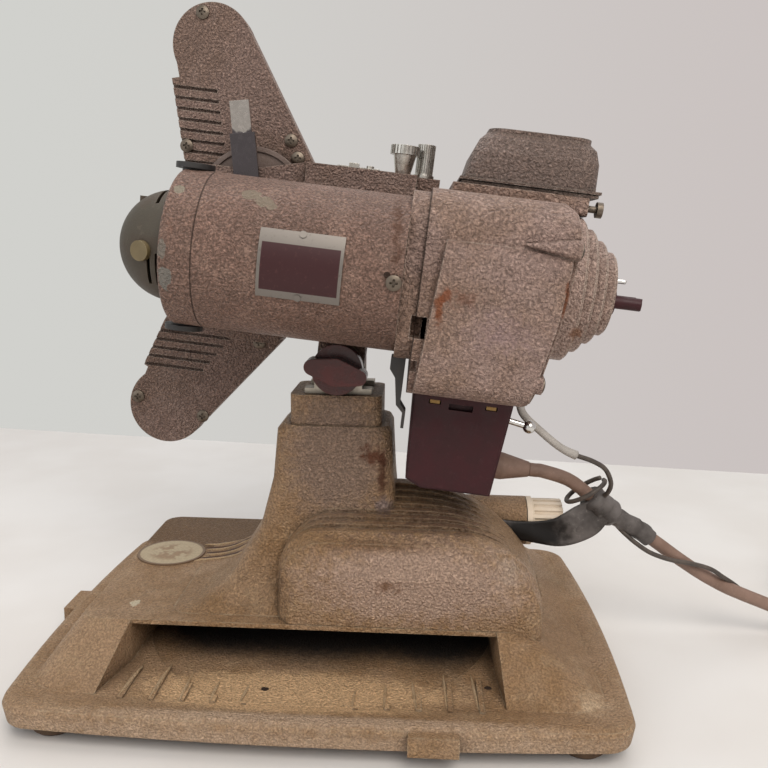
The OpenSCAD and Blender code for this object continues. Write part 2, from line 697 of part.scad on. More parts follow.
// Cross section of the lamp house, with round long edges
module house_section(d) round_rect([house_y0 + d, house_w0 + d], [house_y1 - d, house_w1 - d], house_r - d);

// Side view of the lamp house: its back leans in towards the bottom
module house_side() polygon([[house_u0, house_w0], [house_u1 - 14, house_w0], [house_u1 - 10, house_w0 + 4],
  [house_u1 - 3, 38], [house_u1, 66], [house_u1, 80], [house_u1 - 2, house_w1 - 5], [house_u1 - 7, house_w1],
  [house_u0, house_w1]]);
module duct_side() polygon([[house_u0 + 2.5, house_w0], [house_u1 - 16, house_w0], [house_u1 - 12, house_w0 + 4],
  [house_u1 - 5, 38], [house_u1 - 2.5, 66], [house_u1 - 2.5, 74], [house_u0 + 9.5, 74]]);
// Drop-shaped boss of a screw that holds the back: it ends at u and its axis is at w
module boss(u, w) translate([u, boss_y, w]) rotate([0, -90, 0]) union() {
  cylinder(r = boss_r, h = 3);
  translate([0, 0, 3]) cylinder(r1 = boss_r, r2 = 0.5, h = boss_l - 3);
}

module lamp_house() color([0.55, 0.48, 0.41]) head() difference() {
  union() {
    along(flange_u0, house_u0 + 0.01) round_rect([house_y0 + 2, casting_w0 - 1], [house_y1 - 2, house_w1 - 2], house_r - 2);
    intersection() {
      along(house_u0, house_u1) house_section(0);
      upright(house_y0 - 1, house_y1 + 1) house_side();
    }
    // Air duct that stands out of the near side
    intersection() {
      along(house_u0, house_u1 - 2.5) round_rect([house_y0 - 4, house_w0 + 2], [house_y0 + 24, 74], 12);
      upright(house_y0 - 5, house_y1) duct_side();
    }
    for (b = boss_at) boss(b[0], b[1]);
    // Frame under the hood rails
    block([hood_u0 - 4, hood_y0 - 2, house_w1 - 6], [house_u1 - 7, hood_y1 + 1, frame_w1]);
    along(house_u1 - 20, hood_u1 - 5) round_rect([hood_y0 - 2, house_w1 - 3], [hood_y1 + 1, frame_w1], 2);
  }
  // Fan room on the motor side
  intersection() {
    along(house_u0 + 3, house_u1 - 3)
      round_rect([house_y0 + house_wall, house_w0 + 4], [chamber_y0 - 2 * house_wall, house_w1 - 8], 12);
    translate([-house_wall, 0, 0]) upright(house_y0, chamber_y0) house_side();
  }
  rod_x(flange_u0 - 1, house_u0 + 4, motor_y, motor_w, 22);
  // Lamp chamber, open at the top under the hood
  along(chamber_u0, chamber_u1) {
    round_rect([chamber_y0, chamber_w0 + 20], [chamber_y1, house_w1 - house_wall], house_r - house_wall);
    round_rect([chamber_y0, chamber_w0], [chamber_y1, chamber_w0 + 50], 1.5);
  }
  block([chamber_u0, chamber_y0 + 3, house_w1 - 20], [chamber_u1, hood_y1 - 5, frame_w1 + 1]);
  rod_x(flange_u0 - 1, chamber_u0 + 1, optic_y, motor_w, 12);
  block([flange_u0 + 6, house_y0 - 10, 26], [house_u0 + 5, house_y0 + 8, 36]);
  block([flange_u0 + 5, house_y0 - 10, 11], [house_u0 + 3, house_y0 + 4, 16]);
  translate([0, hood_y0 + 18, 0]) rod_x(house_u1 - 8, hood_u1 + 3, 0, frame_w1 - 4, 1.8 + run_fit);
  rod_x(house_u1 - 4, house_u1 + 10, ring_y, knob_w, 4.2);
}

// Stepped round cover on the back of the lamp house
module rear_cover() color([0.55, 0.48, 0.42]) head() difference() {
  union() {
    for (k = [0:ring_steps - 1]) {
      r = ring_r - k * 5;
      u = ring_u0 + (k + 1) * ring_pitch;
      rod_x(house_u1 - 9, u - 1, ring_y, ring_w, r);
      rod_x(house_u1 - 9, u, ring_y, ring_w, r - 1);
    }
  }
  upright(house_y0 - 1, house_y1 + 1) house_side();
  rod_x(house_u1 - 6, ring_u0 + ring_pitch * ring_steps / 2, ring_y, ring_w, ring_r - ring_steps * 5 - 2);
  rod_x(house_u1, ring_u1 + 1, ring_y, knob_w, 4 + run_fit);
}

// Winged knob of the lamp switch with its spindle
module rear_knob() color([0.2, 0.12, 0.11]) head() translate([0, ring_y, knob_w]) {
  rod_x(house_u1 - 2, ring_u1 + 1, 0, 0, 4);
  rod_x(ring_u1 + gap, ring_u1 + 4, 0, 0, 7);
  block([ring_u1 + gap, -2.5, -3], [knob_u1, 2.5, 3]);
  for (s = [-1, 1]) rod_x(ring_u1 + gap, knob_u1 - 1.5, s * 5, 0, 3.2);
}

module loop_lever() color([0.75, 0.75, 0.73]) head() translate([0, ring_y, 61.5]) {
  for (s = [-1, 1]) rod_x(ring_u1, ring_u1 + 7, s * 4, 0, 1.2);
  rod_y(-4, 4, ring_u1 + 7, 0, 1.2);
  for (s = [-1, 1]) translate([ring_u1 + 7, s * 4, 0]) sphere(r = 1.2, $fn = 16);
}

module lamp_hood() color([0.46, 0.4, 0.38]) head() difference() {
  union() {
    for (k = [0, 1]) block([hood_u0 - k, hood_y0 - k, frame_w1 + gap / 4 + k * rail_t],
      [hood_u1 - 0.5 + k, hood_y1 + k, frame_w1 + (k + 0.8) * rail_t]);
    block([hood_u0 + 2, hood_y0 + 2, frame_w1 + gap / 4], [hood_u1 - 2, hood_y1 - 2, hood_w0 + 1]);
    hull() {
      slice(hood_w0 - 0.5, [hood_u0 + 1, hood_y0 + 1], [hood_u1 - 0.5, hood_y1 - 1], 9);
      slice(hood_w0 + hood_h * 0.55, [hood_u0 + 4, hood_y0 + 3], [hood_u1 - 0.5, hood_y1 - 3], 9);
      slice(hood_w0 + hood_h - 4, [hood_u0 + 7, hood_y0 + 6], [hood_u1 - 2, hood_y1 - 6], 9);
      slice(hood_w0 + hood_h, [hood_u0 + 11, hood_y0 + 10], [hood_u1 - 6, hood_y1 - 10], 9);
    }
    translate([0, 0, hood_w0 + hood_h - 1]) linear_extrude(2.4)
      round_rect([hood_u0 + 11, hood_y0 + 9], [hood_u1 - 5, hood_y1 - 9], 9, $fn = 32);
  }
  hull() {
    slice(0, [hood_u0 + 5, hood_y0 + 5], [hood_u1 - 6, hood_y1 - 5], 6);
    slice(hood_w0, [hood_u0 + 5, hood_y0 + 5], [hood_u1 - 6, hood_y1 - 5], 6);
    slice(hood_w0 + hood_h - 3, [hood_u0 + 14, hood_y0 + 13], [hood_u1 - 9, hood_y1 - 13], 6);
  }
}

module thumb_screw() color([0.72, 0.71, 0.68]) head() translate([0, hood_y0 + 18, frame_w1 - 4]) {
  u0 = hood_u1 - 5;
  rod_x(house_u1 - 5, u0 + 11, 0, 0, 1.8);
  rod_x(u0 + gap, u0 + 3, 0, 0, 3);
  rod_x(u0 + 8, u0 + 11, 0, 0, 4);
}

module lamp_socket() color([0.82, 0.8, 0.76]) head() translate([lamp_u, lamp_y, chamber_w0]) difference() {
  union() {
    cylinder(r = 18, h = 3);
    cylinder(r = 15, h = 13);
  }
  translate([0, 0, 3]) cylinder(r = 12.02, h = 20);
}

module lamp() color([0.85, 0.88, 0.9, 0.6]) head() translate([lamp_u, lamp_y, chamber_w0 + 3]) {
  cylinder(r = 12, h = 13);
  rotate_extrude() {
    translate([0, 10.4]) square([lamp_r - 2, 5.6]);
    translate([0, 14]) square([lamp_r, 42]);
    intersection() {
      translate([0, 56]) circle(r = lamp_r);
      square([lamp_r, 80]);
    }
  }
}

module reflector() color([0.85, 0.85, 0.85]) head() translate([chamber_u1 - 1, lamp_y, motor_w]) rotate([0, -90, 0])
  difference() {
    union() {
      intersection() {
        translate([0, 0, 24]) sphere(r = 25);
        translate([0, 0, -2]) cylinder(r = 13, h = 7);
      }
      translate([0, 0, -1]) cylinder(r = 4, h = 1.5);
    }
    translate([0, 0, 24]) sphere(r = 24);
  }

module condenser() color([0.8, 0.9, 0.92, 0.5]) head() translate([house_u0 - 2, optic_y, motor_w]) rotate([0, 90, 0])
  intersection() {
    translate([0, 0, -14]) sphere(r = 20);
    cylinder(r = 11.98, h = 20);
  }

// Moulded box that hangs under the lamp house and takes the mains lead
module socket_box() color([0.24, 0.16, 0.18]) head() difference() {
  union() {
    upright(box_y0 + 1, box_y1) polygon([[box_u[0], house_w0], [box_u[1], house_w0], [box_u[2], box_w], [box_u[3] + 8, box_w],
      [box_u[3], box_w + 4]]);
    upright(box_y0, box_y0 + 1) polygon([[box_u[0] + 1, house_w0], [box_u[1] - 1, house_w0], [box_u[2] - 1, box_w + 1],
      [box_u[3] + 8.4, box_w + 1], [box_u[3] + 1, box_w + 5]]);
    block([box_u[3] + 4, box_y1 - 1, box_w + 0.5], [inlet_u, inlet_y + 11, house_w0]);
  }
  block([58, box_y0 - 1, -10.5], [70, box_y0 + 3, -7.5]);
  for (u = [48, 76]) block([u, box_y0 - 1, -8.5], [u + 6, box_y0 + 2, -6.5]);
  // Slot and bore of the ball lever
  block([toggle_u - 4, toggle_y - 2.2, toggle_w - 7], [toggle_u + 10, toggle_y + 2.2, toggle_w + 7]);
  rod_y(toggle_y - 10, toggle_y + 8, toggle_u, toggle_w, toggle_r + run_fit);
}

module box_contacts() color([0.72, 0.56, 0.3]) head() {
  for (u = [48, 76]) block([u + 0.5, box_y0 + 0.6, -8.5], [u + 5.5, box_y0 + 2, -6.5]);
  for (y = [-4, 4]) rod_x(inlet_u, inlet_u + 14, inlet_y + y, inlet_w, 1.6);
}

module house_screws() color([0.72, 0.7, 0.66]) head() {
  for (b = boss_at) translate([b[0], boss_y, b[1]]) rotate([0, 90, 0]) pan_head();
  translate([flange_u0 - 3.5, motor_y, motor_w]) rotate([94, 0, 0]) translate([0, 0, tube_d / 2 + 0.02]) pan_head();
}

module under_bracket() color([0.1, 0.1, 0.1]) head() upright(-48, -38)
  polygon([[27, 13.9], [34, 13.9], [34, -8], [37, -12], [37, -20], [35.5, -20], [35.5, -12.5], [32, -9], [30, 4], [27, 8]]);

module switch_lever() color([0.7, 0.69, 0.66]) head() translate([toggle_u, toggle_y, toggle_w]) {
  rod_y(-8, 7, 0, 0, toggle_r);
  rotate([0, 10, 0]) rod_x(0, 14, 0, 0, 1.6);
  rotate([0, 10, 0]) translate([15, 0, 0]) sphere(r = 3.4, $fn = 40);
}

module clutch_disc() color([0.42, 0.37, 0.34]) head() difference() {
  intersection() {
    rod_y(arm_y0 - 8, arm_y0 - 0.02, disc_u, disc_w, disc_r);
    upright(-10, arm_y0) polygon([[-84, step_w + 0.02], [-60, step_w + 0.02], [-32, rail_w + 0.02], [-28, rail_w + 30],
      [-90, rail_w + 30], [-90, step_w + 0.02]]);
  }
  rod_y(arm_y0 - 10, arm_y0 - 7, disc_u, disc_w, disc_r - 2.5);
}

module clutch_lever() color([0.8, 0.8, 0.8]) head() {
  translate([disc_u, lever_y, disc_w]) {
    rod_y(0, 10, 0, 0, lever_r);
    rotate([0, -11, 0]) {
      block([-6.5, 0, -6], [6.5, 2, 34]);
      block([-5, 0.2, 34], [5, 1.8, 50]);
    }
  }
}

module framing_knob() color([0.78, 0.77, 0.74]) head() translate([top_knobs[0][0], top_knobs[0][1], rail_w]) {
  rod_z(-10, 2, 0, 0, top_knobs[0][2]);
  rotate_extrude() polygon([[0, gap], [4, gap], [6, 10.5], [0, 10.5]]);
  difference() {
    rod_z(10.4, 15, 0, 0, 7.7);
    for (a = [0:15:345]) rotate([0, 0, a]) block([7.2, -0.4, 9], [9, 0.4, 16]);
  }
}

module speed_knob() color([0.7, 0.7, 0.68]) head() translate([top_knobs[1][0], top_knobs[1][1], rail_w]) {
  rod_z(-10, 2, 0, 0, top_knobs[1][2]);
  rod_z(gap, 2.2, 0, 0, 5.6);
  difference() {
    rod_z(2, 18, 0, 0, 4.8);
    for (a = [0:15:345]) rotate([0, 0, a]) block([4.4, -0.25, 3], [9, 0.25, 19]);
  }
}

module top_catch() color([0.72, 0.71, 0.68]) head() {
  block([-14, 4, rail_w], [8, 9, rail_w + 1.2]);
  block([-8, 4, rail_w], [-3, 12, rail_w + 3]);
  rod_z(rail_w, rail_w + 2.4, 3, 6.5, 2);
}

module film_gate() color([0.5, 0.5, 0.52]) head() difference() {
  union() {
    block([gate_u0, casting_y1 + plate_t, 26], [gate_u0 + 10, film_y + 12, 80]);
    rod_x(gate_u0 - 24, gate_u0, film_y + 2, motor_w, lens_r + 3);
  }
  block([gate_u0 + 4, film_y - 6, 25], [gate_u0 + 6, film_y + 13, 81]);
  rod_x(gate_u0 - 25, gate_u0, film_y + 2, motor_w, lens_r + run_fit);
  block([gate_u0 - 1, film_y - 1, motor_w - 2.5], [gate_u0 + 11, film_y + 5, motor_w + 2.5]);
}

module lens_barrel() color([0.12, 0.12, 0.12]) head() translate([0, film_y + 2, motor_w]) difference() {
  union() {
    rod_x(lens_u1 - lens_l, lens_u1, 0, 0, lens_r);
    rod_x(lens_u1 - lens_l, lens_u1 - lens_l + 10, 0, 0, lens_r + 2);
  }
  rod_x(lens_u1 - lens_l - 1, lens_u1 + 1, 0, 0, lens_r - 3);
}

module lens_glass() color([0.75, 0.85, 0.9, 0.5]) head() for (u = [lens_u1 - lens_l + 3, lens_u1 - 6])
  rod_x(u, u + 3, film_y + 2, motor_w, lens_r - 3);

module sprocket(w) {
  rod_y(casting_y0 + 20, casting_y1 + 18, sprocket_u, w, shaft_r);
  rod_y(casting_y1 + plate_t + gap, casting_y1 + 17, sprocket_u, w, sprocket_r);
  for (i = [0:sprocket_teeth - 1]) translate([sprocket_u, film_y - 2, w]) rotate([0, i * 360 / sprocket_teeth, 0])
    block([sprocket_r - 1, -0.7, -0.7], [sprocket_r + 1.2, 0.7, 0.7]);
}

module upper_sprocket() color([0.75, 0.75, 0.73]) head() sprocket(upper_sprocket_w);
module lower_sprocket() color([0.75, 0.75, 0.73]) head() sprocket(lower_sprocket_w);

// A tube of n sides swept along a list of points
function unit(v) = v / norm(v);
function tangent(p, i) = unit(p[min(i + 1, len(p) - 1)] - p[max(i - 1, 0)]);
function side_of(t) = unit(cross(t, abs(t[2]) > 0.9 ? [1, 0, 0] : [0, 0, 1]));
module tube(p, d, n) {
  rings = [for (i = [0:len(p) - 1]) let (t = tangent(p, i), a = side_of(t), b = cross(t, a))
    for (k = [0:n - 1]) p[i] + d / 2 * (a * cos(k * 360 / n) + b * sin(k * 360 / n))];
  last = (len(p) - 1) * n;
  polyhedron(rings, concat(
    [[for (k = [n - 1:-1:0]) k]],
    [[for (k = [0:n - 1]) last + k]],
    [for (i = [0:len(p) - 2], k = [0:n - 1]) let (m = (k + 1) % n) [i * n + k, i * n + m, (i + 1) * n + m]],
    [for (i = [0:len(p) - 2], k = [0:n - 1]) let (m = (k + 1) % n) [i * n + k, (i + 1) * n + m, (i + 1) * n + k]]));
}
// Smooth curve through hand-chosen points
function bend(p, i, t) = let (a = p[max(i - 1, 0)], b = p[i], c = p[i + 1], d = p[min(i + 2, len(p) - 1)])
  0.5 * (2 * b + (c - a) * t + (2 * a - 5 * b + 4 * c - d) * t * t + (3 * b - a - 3 * c + d) * t * t * t);
function smooth(p, n) = concat([for (i = [0:len(p) - 2], k = [0:n - 1]) bend(p, i, k / n)], [p[len(p) - 1]]);

// Mains cord: out of the connector, down to the floor and along it to the coil
connector_l = 31;
lead_gap = 0.05;
lead_u = inlet_u + connector_l + lead_gap;
function from_head(q) = [pivot_x + q[0] * tilt_c + q[2] * tilt_s, q[1], pivot_z - q[0] * tilt_s + q[2] * tilt_c];
lead_out = from_head([lead_u, inlet_y, inlet_w]);
lead_mid = from_head([lead_u + 4, inlet_y, inlet_w]);
lead_next = from_head([lead_u + 8, inlet_y, inlet_w]);
lead_points = concat([lead_out, lead_mid, lead_next], [[128, 5, 100], [139, 7, 92], [150, 10, 82], [160, 12, 75.5],
  [170, 14, 69.5], [183, 16, 60.5], [196, 18, 51], [211, 20, 41], [226, 22, 32.5], [240, 23, 26.5],
  [255, 24, 20.5], [275, 23, 12.5], [297, 19, 6.4], [318, 16.4, 4.1], [330, 16, 3.9], [337, 16, 3.85]]);

module power_cord() color([0.53, 0.4, 0.33]) place() tube(smooth(lead_points, 2), cord_d, 8);

// Coil: four layers of one and a half turns, reversing and climbing in half a turn
coil_at = [345, 64, 3.8];
coil_outer = 48;
coil_pitch = 8.2;
coil_run = 1.5;
coil_turns = 7;
coil_dip = 3;
function layer(t) = floor(t / (coil_run + 0.5));
function phase(t) = t - layer(t) * (coil_run + 0.5);
function ease(s) = s * s * (3 - 2 * s);
function climb(t) = max(0, (phase(t) - coil_run) / 0.5);
function coil_r(t) = let (inward = layer(t) % 2 == 0, run = min(phase(t), coil_run) * coil_pitch)
  inward ? coil_outer - run - coil_dip * sin(180 * climb(t))
    : coil_outer - coil_run * coil_pitch + run + coil_dip * sin(180 * climb(t));
function coil_z(t) = coil_pitch * (layer(t) + ease(climb(t)));
function on_coil(r, turn, z) = coil_at + [r * cos(360 * turn - 90), r * sin(360 * turn - 90), z];
// The end of the cord steps out over the coil and down beside it
tail_turn = 0.42;
tail_r = 58;
function tail(s) = let (r0 = coil_r(coil_turns), z0 = coil_z(coil_turns))
  on_coil(r0 + (tail_r - r0) * ease(min(2 * s, 1)), coil_turns + tail_turn * s, z0 * (1 - ease(max(0, (s - 0.3) / 0.7))));
tail_end = tail(1);
tail_way = unit([tail_end[0], tail_end[1], 0] - [tail(0.97)[0], tail(0.97)[1], 0]);
coil_points = concat([coil_at + [-cord_d - 0.4, -coil_outer, 0], coil_at + [-0.5 * cord_d, -coil_outer, 0]],
  [for (i = [0:coil_turns * 24]) on_coil(coil_r(i / 24), i / 24, coil_z(i / 24))],
  [for (i = [1:10]) tail(i / 10)], [tail_end + tail_way * cord_d]);

// Least free space between two places of the coil that are not neighbours
coil_gap = min([for (i = [0:len(coil_points) - 13], j = [i + 12:len(coil_points) - 1])
  norm(coil_points[i] - coil_points[j])]) - cord_d;
echo(coil_gap = coil_gap);

module cord_coil() color([0.53, 0.4, 0.33]) place() tube(coil_points, cord_d, 6);

module mains_plug() color([0.16, 0.13, 0.12]) place() translate(tail_end + tail_way * cord_d)
  rotate([0, 0, atan2(tail_way[1], tail_way[0])]) {
    rod_x(0, 10, 0, 0, cord_d / 2);
    translate([10, 0, 0]) difference() {
      rod_x(0, 18, 0, 5.6, 9.8);
      block([-1, -20, -20], [20, 20, -coil_at[2]]);
    }
    for (y = [-6.4, 6.4]) block([27, y - 0.8, 2.5], [44, y + 0.8, 8.5]);
  }

module cord_connector() color([0.5, 0.36, 0.3]) head() difference() {
  union() {
    rod_x(inlet_u, inlet_u + 16, inlet_y, inlet_w, 7.5);
    translate([inlet_u + 16, inlet_y, inlet_w]) rotate([0, 90, 0]) cylinder(r1 = 7.5, r2 = cord_d / 2 + 0.4, h = connector_l - 16);
  }
  for (y = [-4, 4]) rod_x(inlet_u - 1, inlet_u + 14.2, inlet_y + y, inlet_w, 1.62);
}

// Strap from behind the hump, in front of the knob and round the cord
module cord_strap() color([0.2, 0.19, 0.18]) place() strap_run();
module strap_run() for (i = [0:len(strap_points) - 2]) hull() for (q = [strap_points[i], strap_points[i + 1]])
  translate(q) cube([0.6, strap_t, strap_w], center = true);

// Thin wire from the back of the lamp house to the cord
module earth_wire() color([0.25, 0.23, 0.21]) place() tube(smooth(wire_points, 3), wire_d, 8);

base_casting();
rubber_feet();
foot_screws();
badge_plate();
pedestal();
knob_tube();
levelling_knob();
neck_fork();
tilt_bolt();
tilt_knob();
mechanism_casting();
film_plate();
motor_tube();
motor_end_shield();
motor_dome();
oil_cap();
brush_caps();
stator();
rotor();
cooling_fan();
instruction_plate();
lamp_house();
rear_cover();
rear_knob();
loop_lever();
lamp_hood();
thumb_screw();
lamp_socket();
lamp();
reflector();
condenser();
house_screws();
socket_box();
box_contacts();
under_bracket();
switch_lever();
feed_arm();
feed_arm_cover();
take_up_arm();
take_up_cover();
arm_screws();
feed_spindle();
take_up_spindle();
clutch_disc();
clutch_lever();
framing_knob();
speed_knob();
top_catch();
film_gate();
lens_barrel();
lens_glass();
upper_sprocket();
lower_sprocket();
cord_strap();
cord_connector();
power_cord();
cord_coil();
mains_plug();
earth_wire();
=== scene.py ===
import math

import bmesh
import bpy
import numpy as np
from mathutils import Matrix, Vector
from mathutils.bvhtree import BVHTree


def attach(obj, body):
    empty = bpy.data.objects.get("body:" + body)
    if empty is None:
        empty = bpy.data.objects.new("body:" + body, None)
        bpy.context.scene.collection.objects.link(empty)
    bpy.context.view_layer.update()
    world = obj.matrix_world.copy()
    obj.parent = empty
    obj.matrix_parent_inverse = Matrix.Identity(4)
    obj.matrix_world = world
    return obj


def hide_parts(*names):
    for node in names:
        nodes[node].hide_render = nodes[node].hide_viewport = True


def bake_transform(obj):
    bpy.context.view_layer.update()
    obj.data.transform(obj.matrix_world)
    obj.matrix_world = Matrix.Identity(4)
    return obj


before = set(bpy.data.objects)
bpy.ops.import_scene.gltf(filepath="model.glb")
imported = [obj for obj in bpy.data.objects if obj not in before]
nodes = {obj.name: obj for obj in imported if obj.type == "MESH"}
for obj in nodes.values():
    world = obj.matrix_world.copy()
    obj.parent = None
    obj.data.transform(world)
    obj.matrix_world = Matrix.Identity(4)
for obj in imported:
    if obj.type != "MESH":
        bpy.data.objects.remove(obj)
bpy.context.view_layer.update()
print("frame loaded:", len(nodes), "nodes")

# The part stands over the middle of its own box, so the source's plan is shifted by this, in millimetres
planShift = Vector((-0.3645, 1.7, 0.0))
# Tilt axis and nose-up angle of the head, as in the source
tiltAxis = {"x": 2.4, "z": 163.0, "angle": math.radians(6)}


def basePoint(x, y, z):
    return (Vector((x, y, z)) + planShift) / 1000


def headPoint(u, y, w):
    c, s = math.cos(tiltAxis["angle"]), math.sin(tiltAxis["angle"])
    return basePoint(tiltAxis["x"] + u * c + w * s, y, tiltAxis["z"] - u * s + w * c)


def headWay(u, y, w):
    return (headPoint(u, y, w) - headPoint(0, 0, 0)).normalized()


# Camera: where the photograph was taken from, in metres and degrees
view = {"at": basePoint(41.9, -408.9, 227.1), "yaw": -2.29, "pitch": 10.41, "roll": 1.01,
        "focalPixels": 770.0, "imagePixels": 768.0, "sensorMm": 36.0}


def cameraAxes():
    yaw, pitch, roll = (math.radians(view[k]) for k in ("yaw", "pitch", "roll"))
    ahead = Vector((math.sin(yaw) * math.cos(pitch), math.cos(yaw) * math.cos(pitch), -math.sin(pitch)))
    level = Vector((math.cos(yaw), -math.sin(yaw), 0))
    upright = level.cross(ahead)
    across = level * math.cos(roll) + upright * math.sin(roll)
    return across, upright * math.cos(roll) - level * math.sin(roll), ahead


def setCamera():
    across, upward, ahead = cameraAxes()
    data = bpy.data.cameras.new("photoCamera")
    data.sensor_width = view["sensorMm"]
    data.lens = view["focalPixels"] * view["sensorMm"] / view["imagePixels"]
    data.clip_start, data.clip_end = 0.02, 20
    camera = bpy.data.objects.new("photoCamera", data)
    bpy.context.scene.collection.objects.link(camera)
    camera.matrix_world = Matrix.Translation(view["at"]) @ Matrix((across, upward,
                                                                   -ahead)).transposed().to_4x4()
    bpy.context.scene.camera = camera


def sightLine(px, py):  # unit ray through a pixel of the photograph
    across, upward, ahead = cameraAxes()
    half, focal = view["imagePixels"] / 2, view["focalPixels"]
    return (ahead + across * ((px - half) / focal) + upward * ((half - py) / focal)).normalized()


setCamera()
print("camera set")


# Node materials

def linear(code):  # sRGB hex to a linear colour
    parts = [int(code[i:i + 2], 16) / 255 for i in (1, 3, 5)]
    return tuple(p / 12.92 if p <= 0.04045 else ((p + 0.055) / 1.055) ** 2.4 for p in parts) + (1.0,)


def perMetre(millimetres):  # texture scale for a pattern that repeats at this size
    return 1000.0 / millimetres


def addNode(tree, kind, settings=None, links=None):
    # Settings are sockets by name or number, or else properties; a node as a link sends its first live output
    made = tree.nodes.new("ShaderNode" + kind)
    later = {}
    for key, value in (settings or {}).items():
        if isinstance(key, int) or key in made.inputs:
            later[key] = value
        else:
            setattr(made, key, value)
    for key, value in later.items():
        made.inputs[key].default_value = value
    for key, source in (links or {}).items():
        if isinstance(source, bpy.types.Node):
            source = next(end for end in source.outputs if end.enabled)
        tree.links.new(source, made.inputs[key])
    return made


def newMaterial(name):
    material = bpy.data.materials.new(name)
    material.use_nodes = True
    tree = material.node_tree
    tree.nodes.clear()
    place = addNode(tree, "TexCoord").outputs["Object"]
    return material, tree, place


def closeMaterial(tree, settings, links):
    addNode(tree, "OutputMaterial", {}, {"Surface": addNode(tree, "BsdfPrincipled", settings, links)})


def smooth(low, high, start=0.0, end=1.0):  # settings that turn one range of values softly into another
    return {"interpolation_type": "SMOOTHSTEP",
            "From Min": low, "From Max": high, "To Min": start, "To Max": end}


def clouds(tree, place, millimetres, low, high, detail=3.0, rough=0.6, start=0.0, end=1.0):
    # Cloudy patches of this size; the two levels set how sharply they part
    settings = {"Scale": perMetre(millimetres), "Detail": detail, "Roughness": rough}
    cloud = addNode(tree, "TexNoise", settings, {"Vector": place})
    return addNode(tree, "MapRange", smooth(low, high, start, end), {"Value": cloud})


def coat(tree, under, over, cover, share=1.0):
    # Lays a colour over another where the cover is 1, as thick as its share; a colour is a hex code or a node
    settings, links = {"data_type": "RGBA"}, {0: cover}
    if share < 1:
        links[0] = addNode(tree, "Math", {"operation": "MULTIPLY", 1: share}, {0: cover})
    for key, colour in ((6, under), (7, over)):
        if isinstance(colour, str):
            settings[key] = linear(colour)
        else:
            links[key] = colour
    return addNode(tree, "Mix", settings, links)


# Painted light: a colour made lighter on the crowns as a painted highlight, and darker in the hollows as
# painted shade
def shade(tree, colour, height, depth):  # darker in the hollows, lighter on the crowns
    light = addNode(tree, "MapRange", smooth(0.0, 1.0, 1 - depth, 1 + depth), {"Value": height})
    return addNode(tree, "VectorMath", {"operation": "SCALE"}, {0: colour, "Scale": light})


def relief(tree, height, strength, depthMm, edgeMm):  # a raised skin, on edges that are a little rounded
    rounded = addNode(tree, "Bevel", {"samples": 4, "Radius": edgeMm / 1000})
    settings = {"Strength": strength, "Distance": depthMm / 1000}
    return addNode(tree, "Bump", settings, {"Height": height, "Normal": rounded})


def edgeWear(tree, place, radiusMm, spreadMm, low, high):  # 1 on worn edges, in patches
    soft = addNode(tree, "Bevel", {"samples": 4, "Radius": radiusMm / 1000})
    flat = addNode(tree, "NewGeometry").outputs["Normal"]
    same = addNode(tree, "VectorMath", {"operation": "DOT_PRODUCT"}, {0: soft, 1: flat})
    worn = addNode(tree, "MapRange", smooth(0.995, 0.93), {"Value": same})
    patchy = clouds(tree, place, spreadMm, low, high, rough=0.65)
    return addNode(tree, "Math", {"operation": "MULTIPLY"}, {0: worn, 1: patchy})


# Painted shade with grime: the finishes lay a dark colour deep in corners, where shade falls
def grimeMask(tree, reachMm, low=0.3, high=0.8):  # 1 deep in corners
    shelter = addNode(tree, "AmbientOcclusion", {"samples": 6, "Distance": reachMm / 1000}).outputs["AO"]
    return addNode(tree, "MapRange", smooth(high, low), {"Value": shelter})


# Marks are chips, rust and stains, and patches of painted light and painted shade. Each has its middle and
# half sizes in millimetres, its colour and strength, how ragged and how soft its rim is, and whether it lies
# under the painted relief shading
def spot(at, half, colour, strength, ragged=1.2, soft=0.12, raggedMm=4.0, under=False):
    return {"at": tuple(v / 1000 for v in at), "half": half, "colour": colour, "strength": strength,
            "ragged": ragged, "soft": soft, "raggedMm": raggedMm, "under": under}


def seam(u, strength):  # a thin dark line across the head, this far along it
    return {"at": tuple(headPoint(u, 0, 0)), "across": tuple(headWay(1, 0, 0)), "half": 0.55,
            "colour": "#3a261c", "strength": strength, "under": False}


def markMask(tree, place, mark):
    away = addNode(tree, "VectorMath", {"operation": "SUBTRACT", 1: mark["at"]}, {0: place})
    if "across" in mark:
        off = addNode(tree, "VectorMath", {"operation": "DOT_PRODUCT", 1: mark["across"]}, {0: away})
        off = addNode(tree, "Math", {"operation": "ABSOLUTE"}, {0: off})
        return addNode(tree, "MapRange", smooth(mark["half"] / 1000, mark["half"] / 3000), {"Value": off})
    sized = addNode(tree, "VectorMath", {"operation": "MULTIPLY", 1: tuple(1000 / s for s in mark["half"])},
                    {0: away})
    far = addNode(tree, "VectorMath", {"operation": "LENGTH"}, {0: sized})
    settings = {"Scale": perMetre(mark["raggedMm"]), "Detail": 3.0, "Roughness": 0.6}
    rough = addNode(tree, "TexNoise", settings, {"Vector": place})
    shaken = addNode(tree, "Math", {"operation": "MULTIPLY_ADD", 1: mark["ragged"]}, {0: rough, 2: far})
    rim = 1.0 + mark["ragged"] * 0.5
    return addNode(tree, "MapRange", smooth(rim, rim - mark["soft"]), {"Value": shaken})


def paintMarks(tree, place, colour, marks):
    for mark in marks:
        colour = coat(tree, colour, mark["colour"], markMask(tree, place, mark), mark["strength"])
    return colour


finishes = {}


def dress(material, wearers):  # keeps a finish for the pieces to come and puts it on the nodes that wear it
    finishes[material.name] = material
    for name in wearers.split():
        mesh = nodes[name].data
        mesh.materials.clear()
        mesh.materials.append(material)


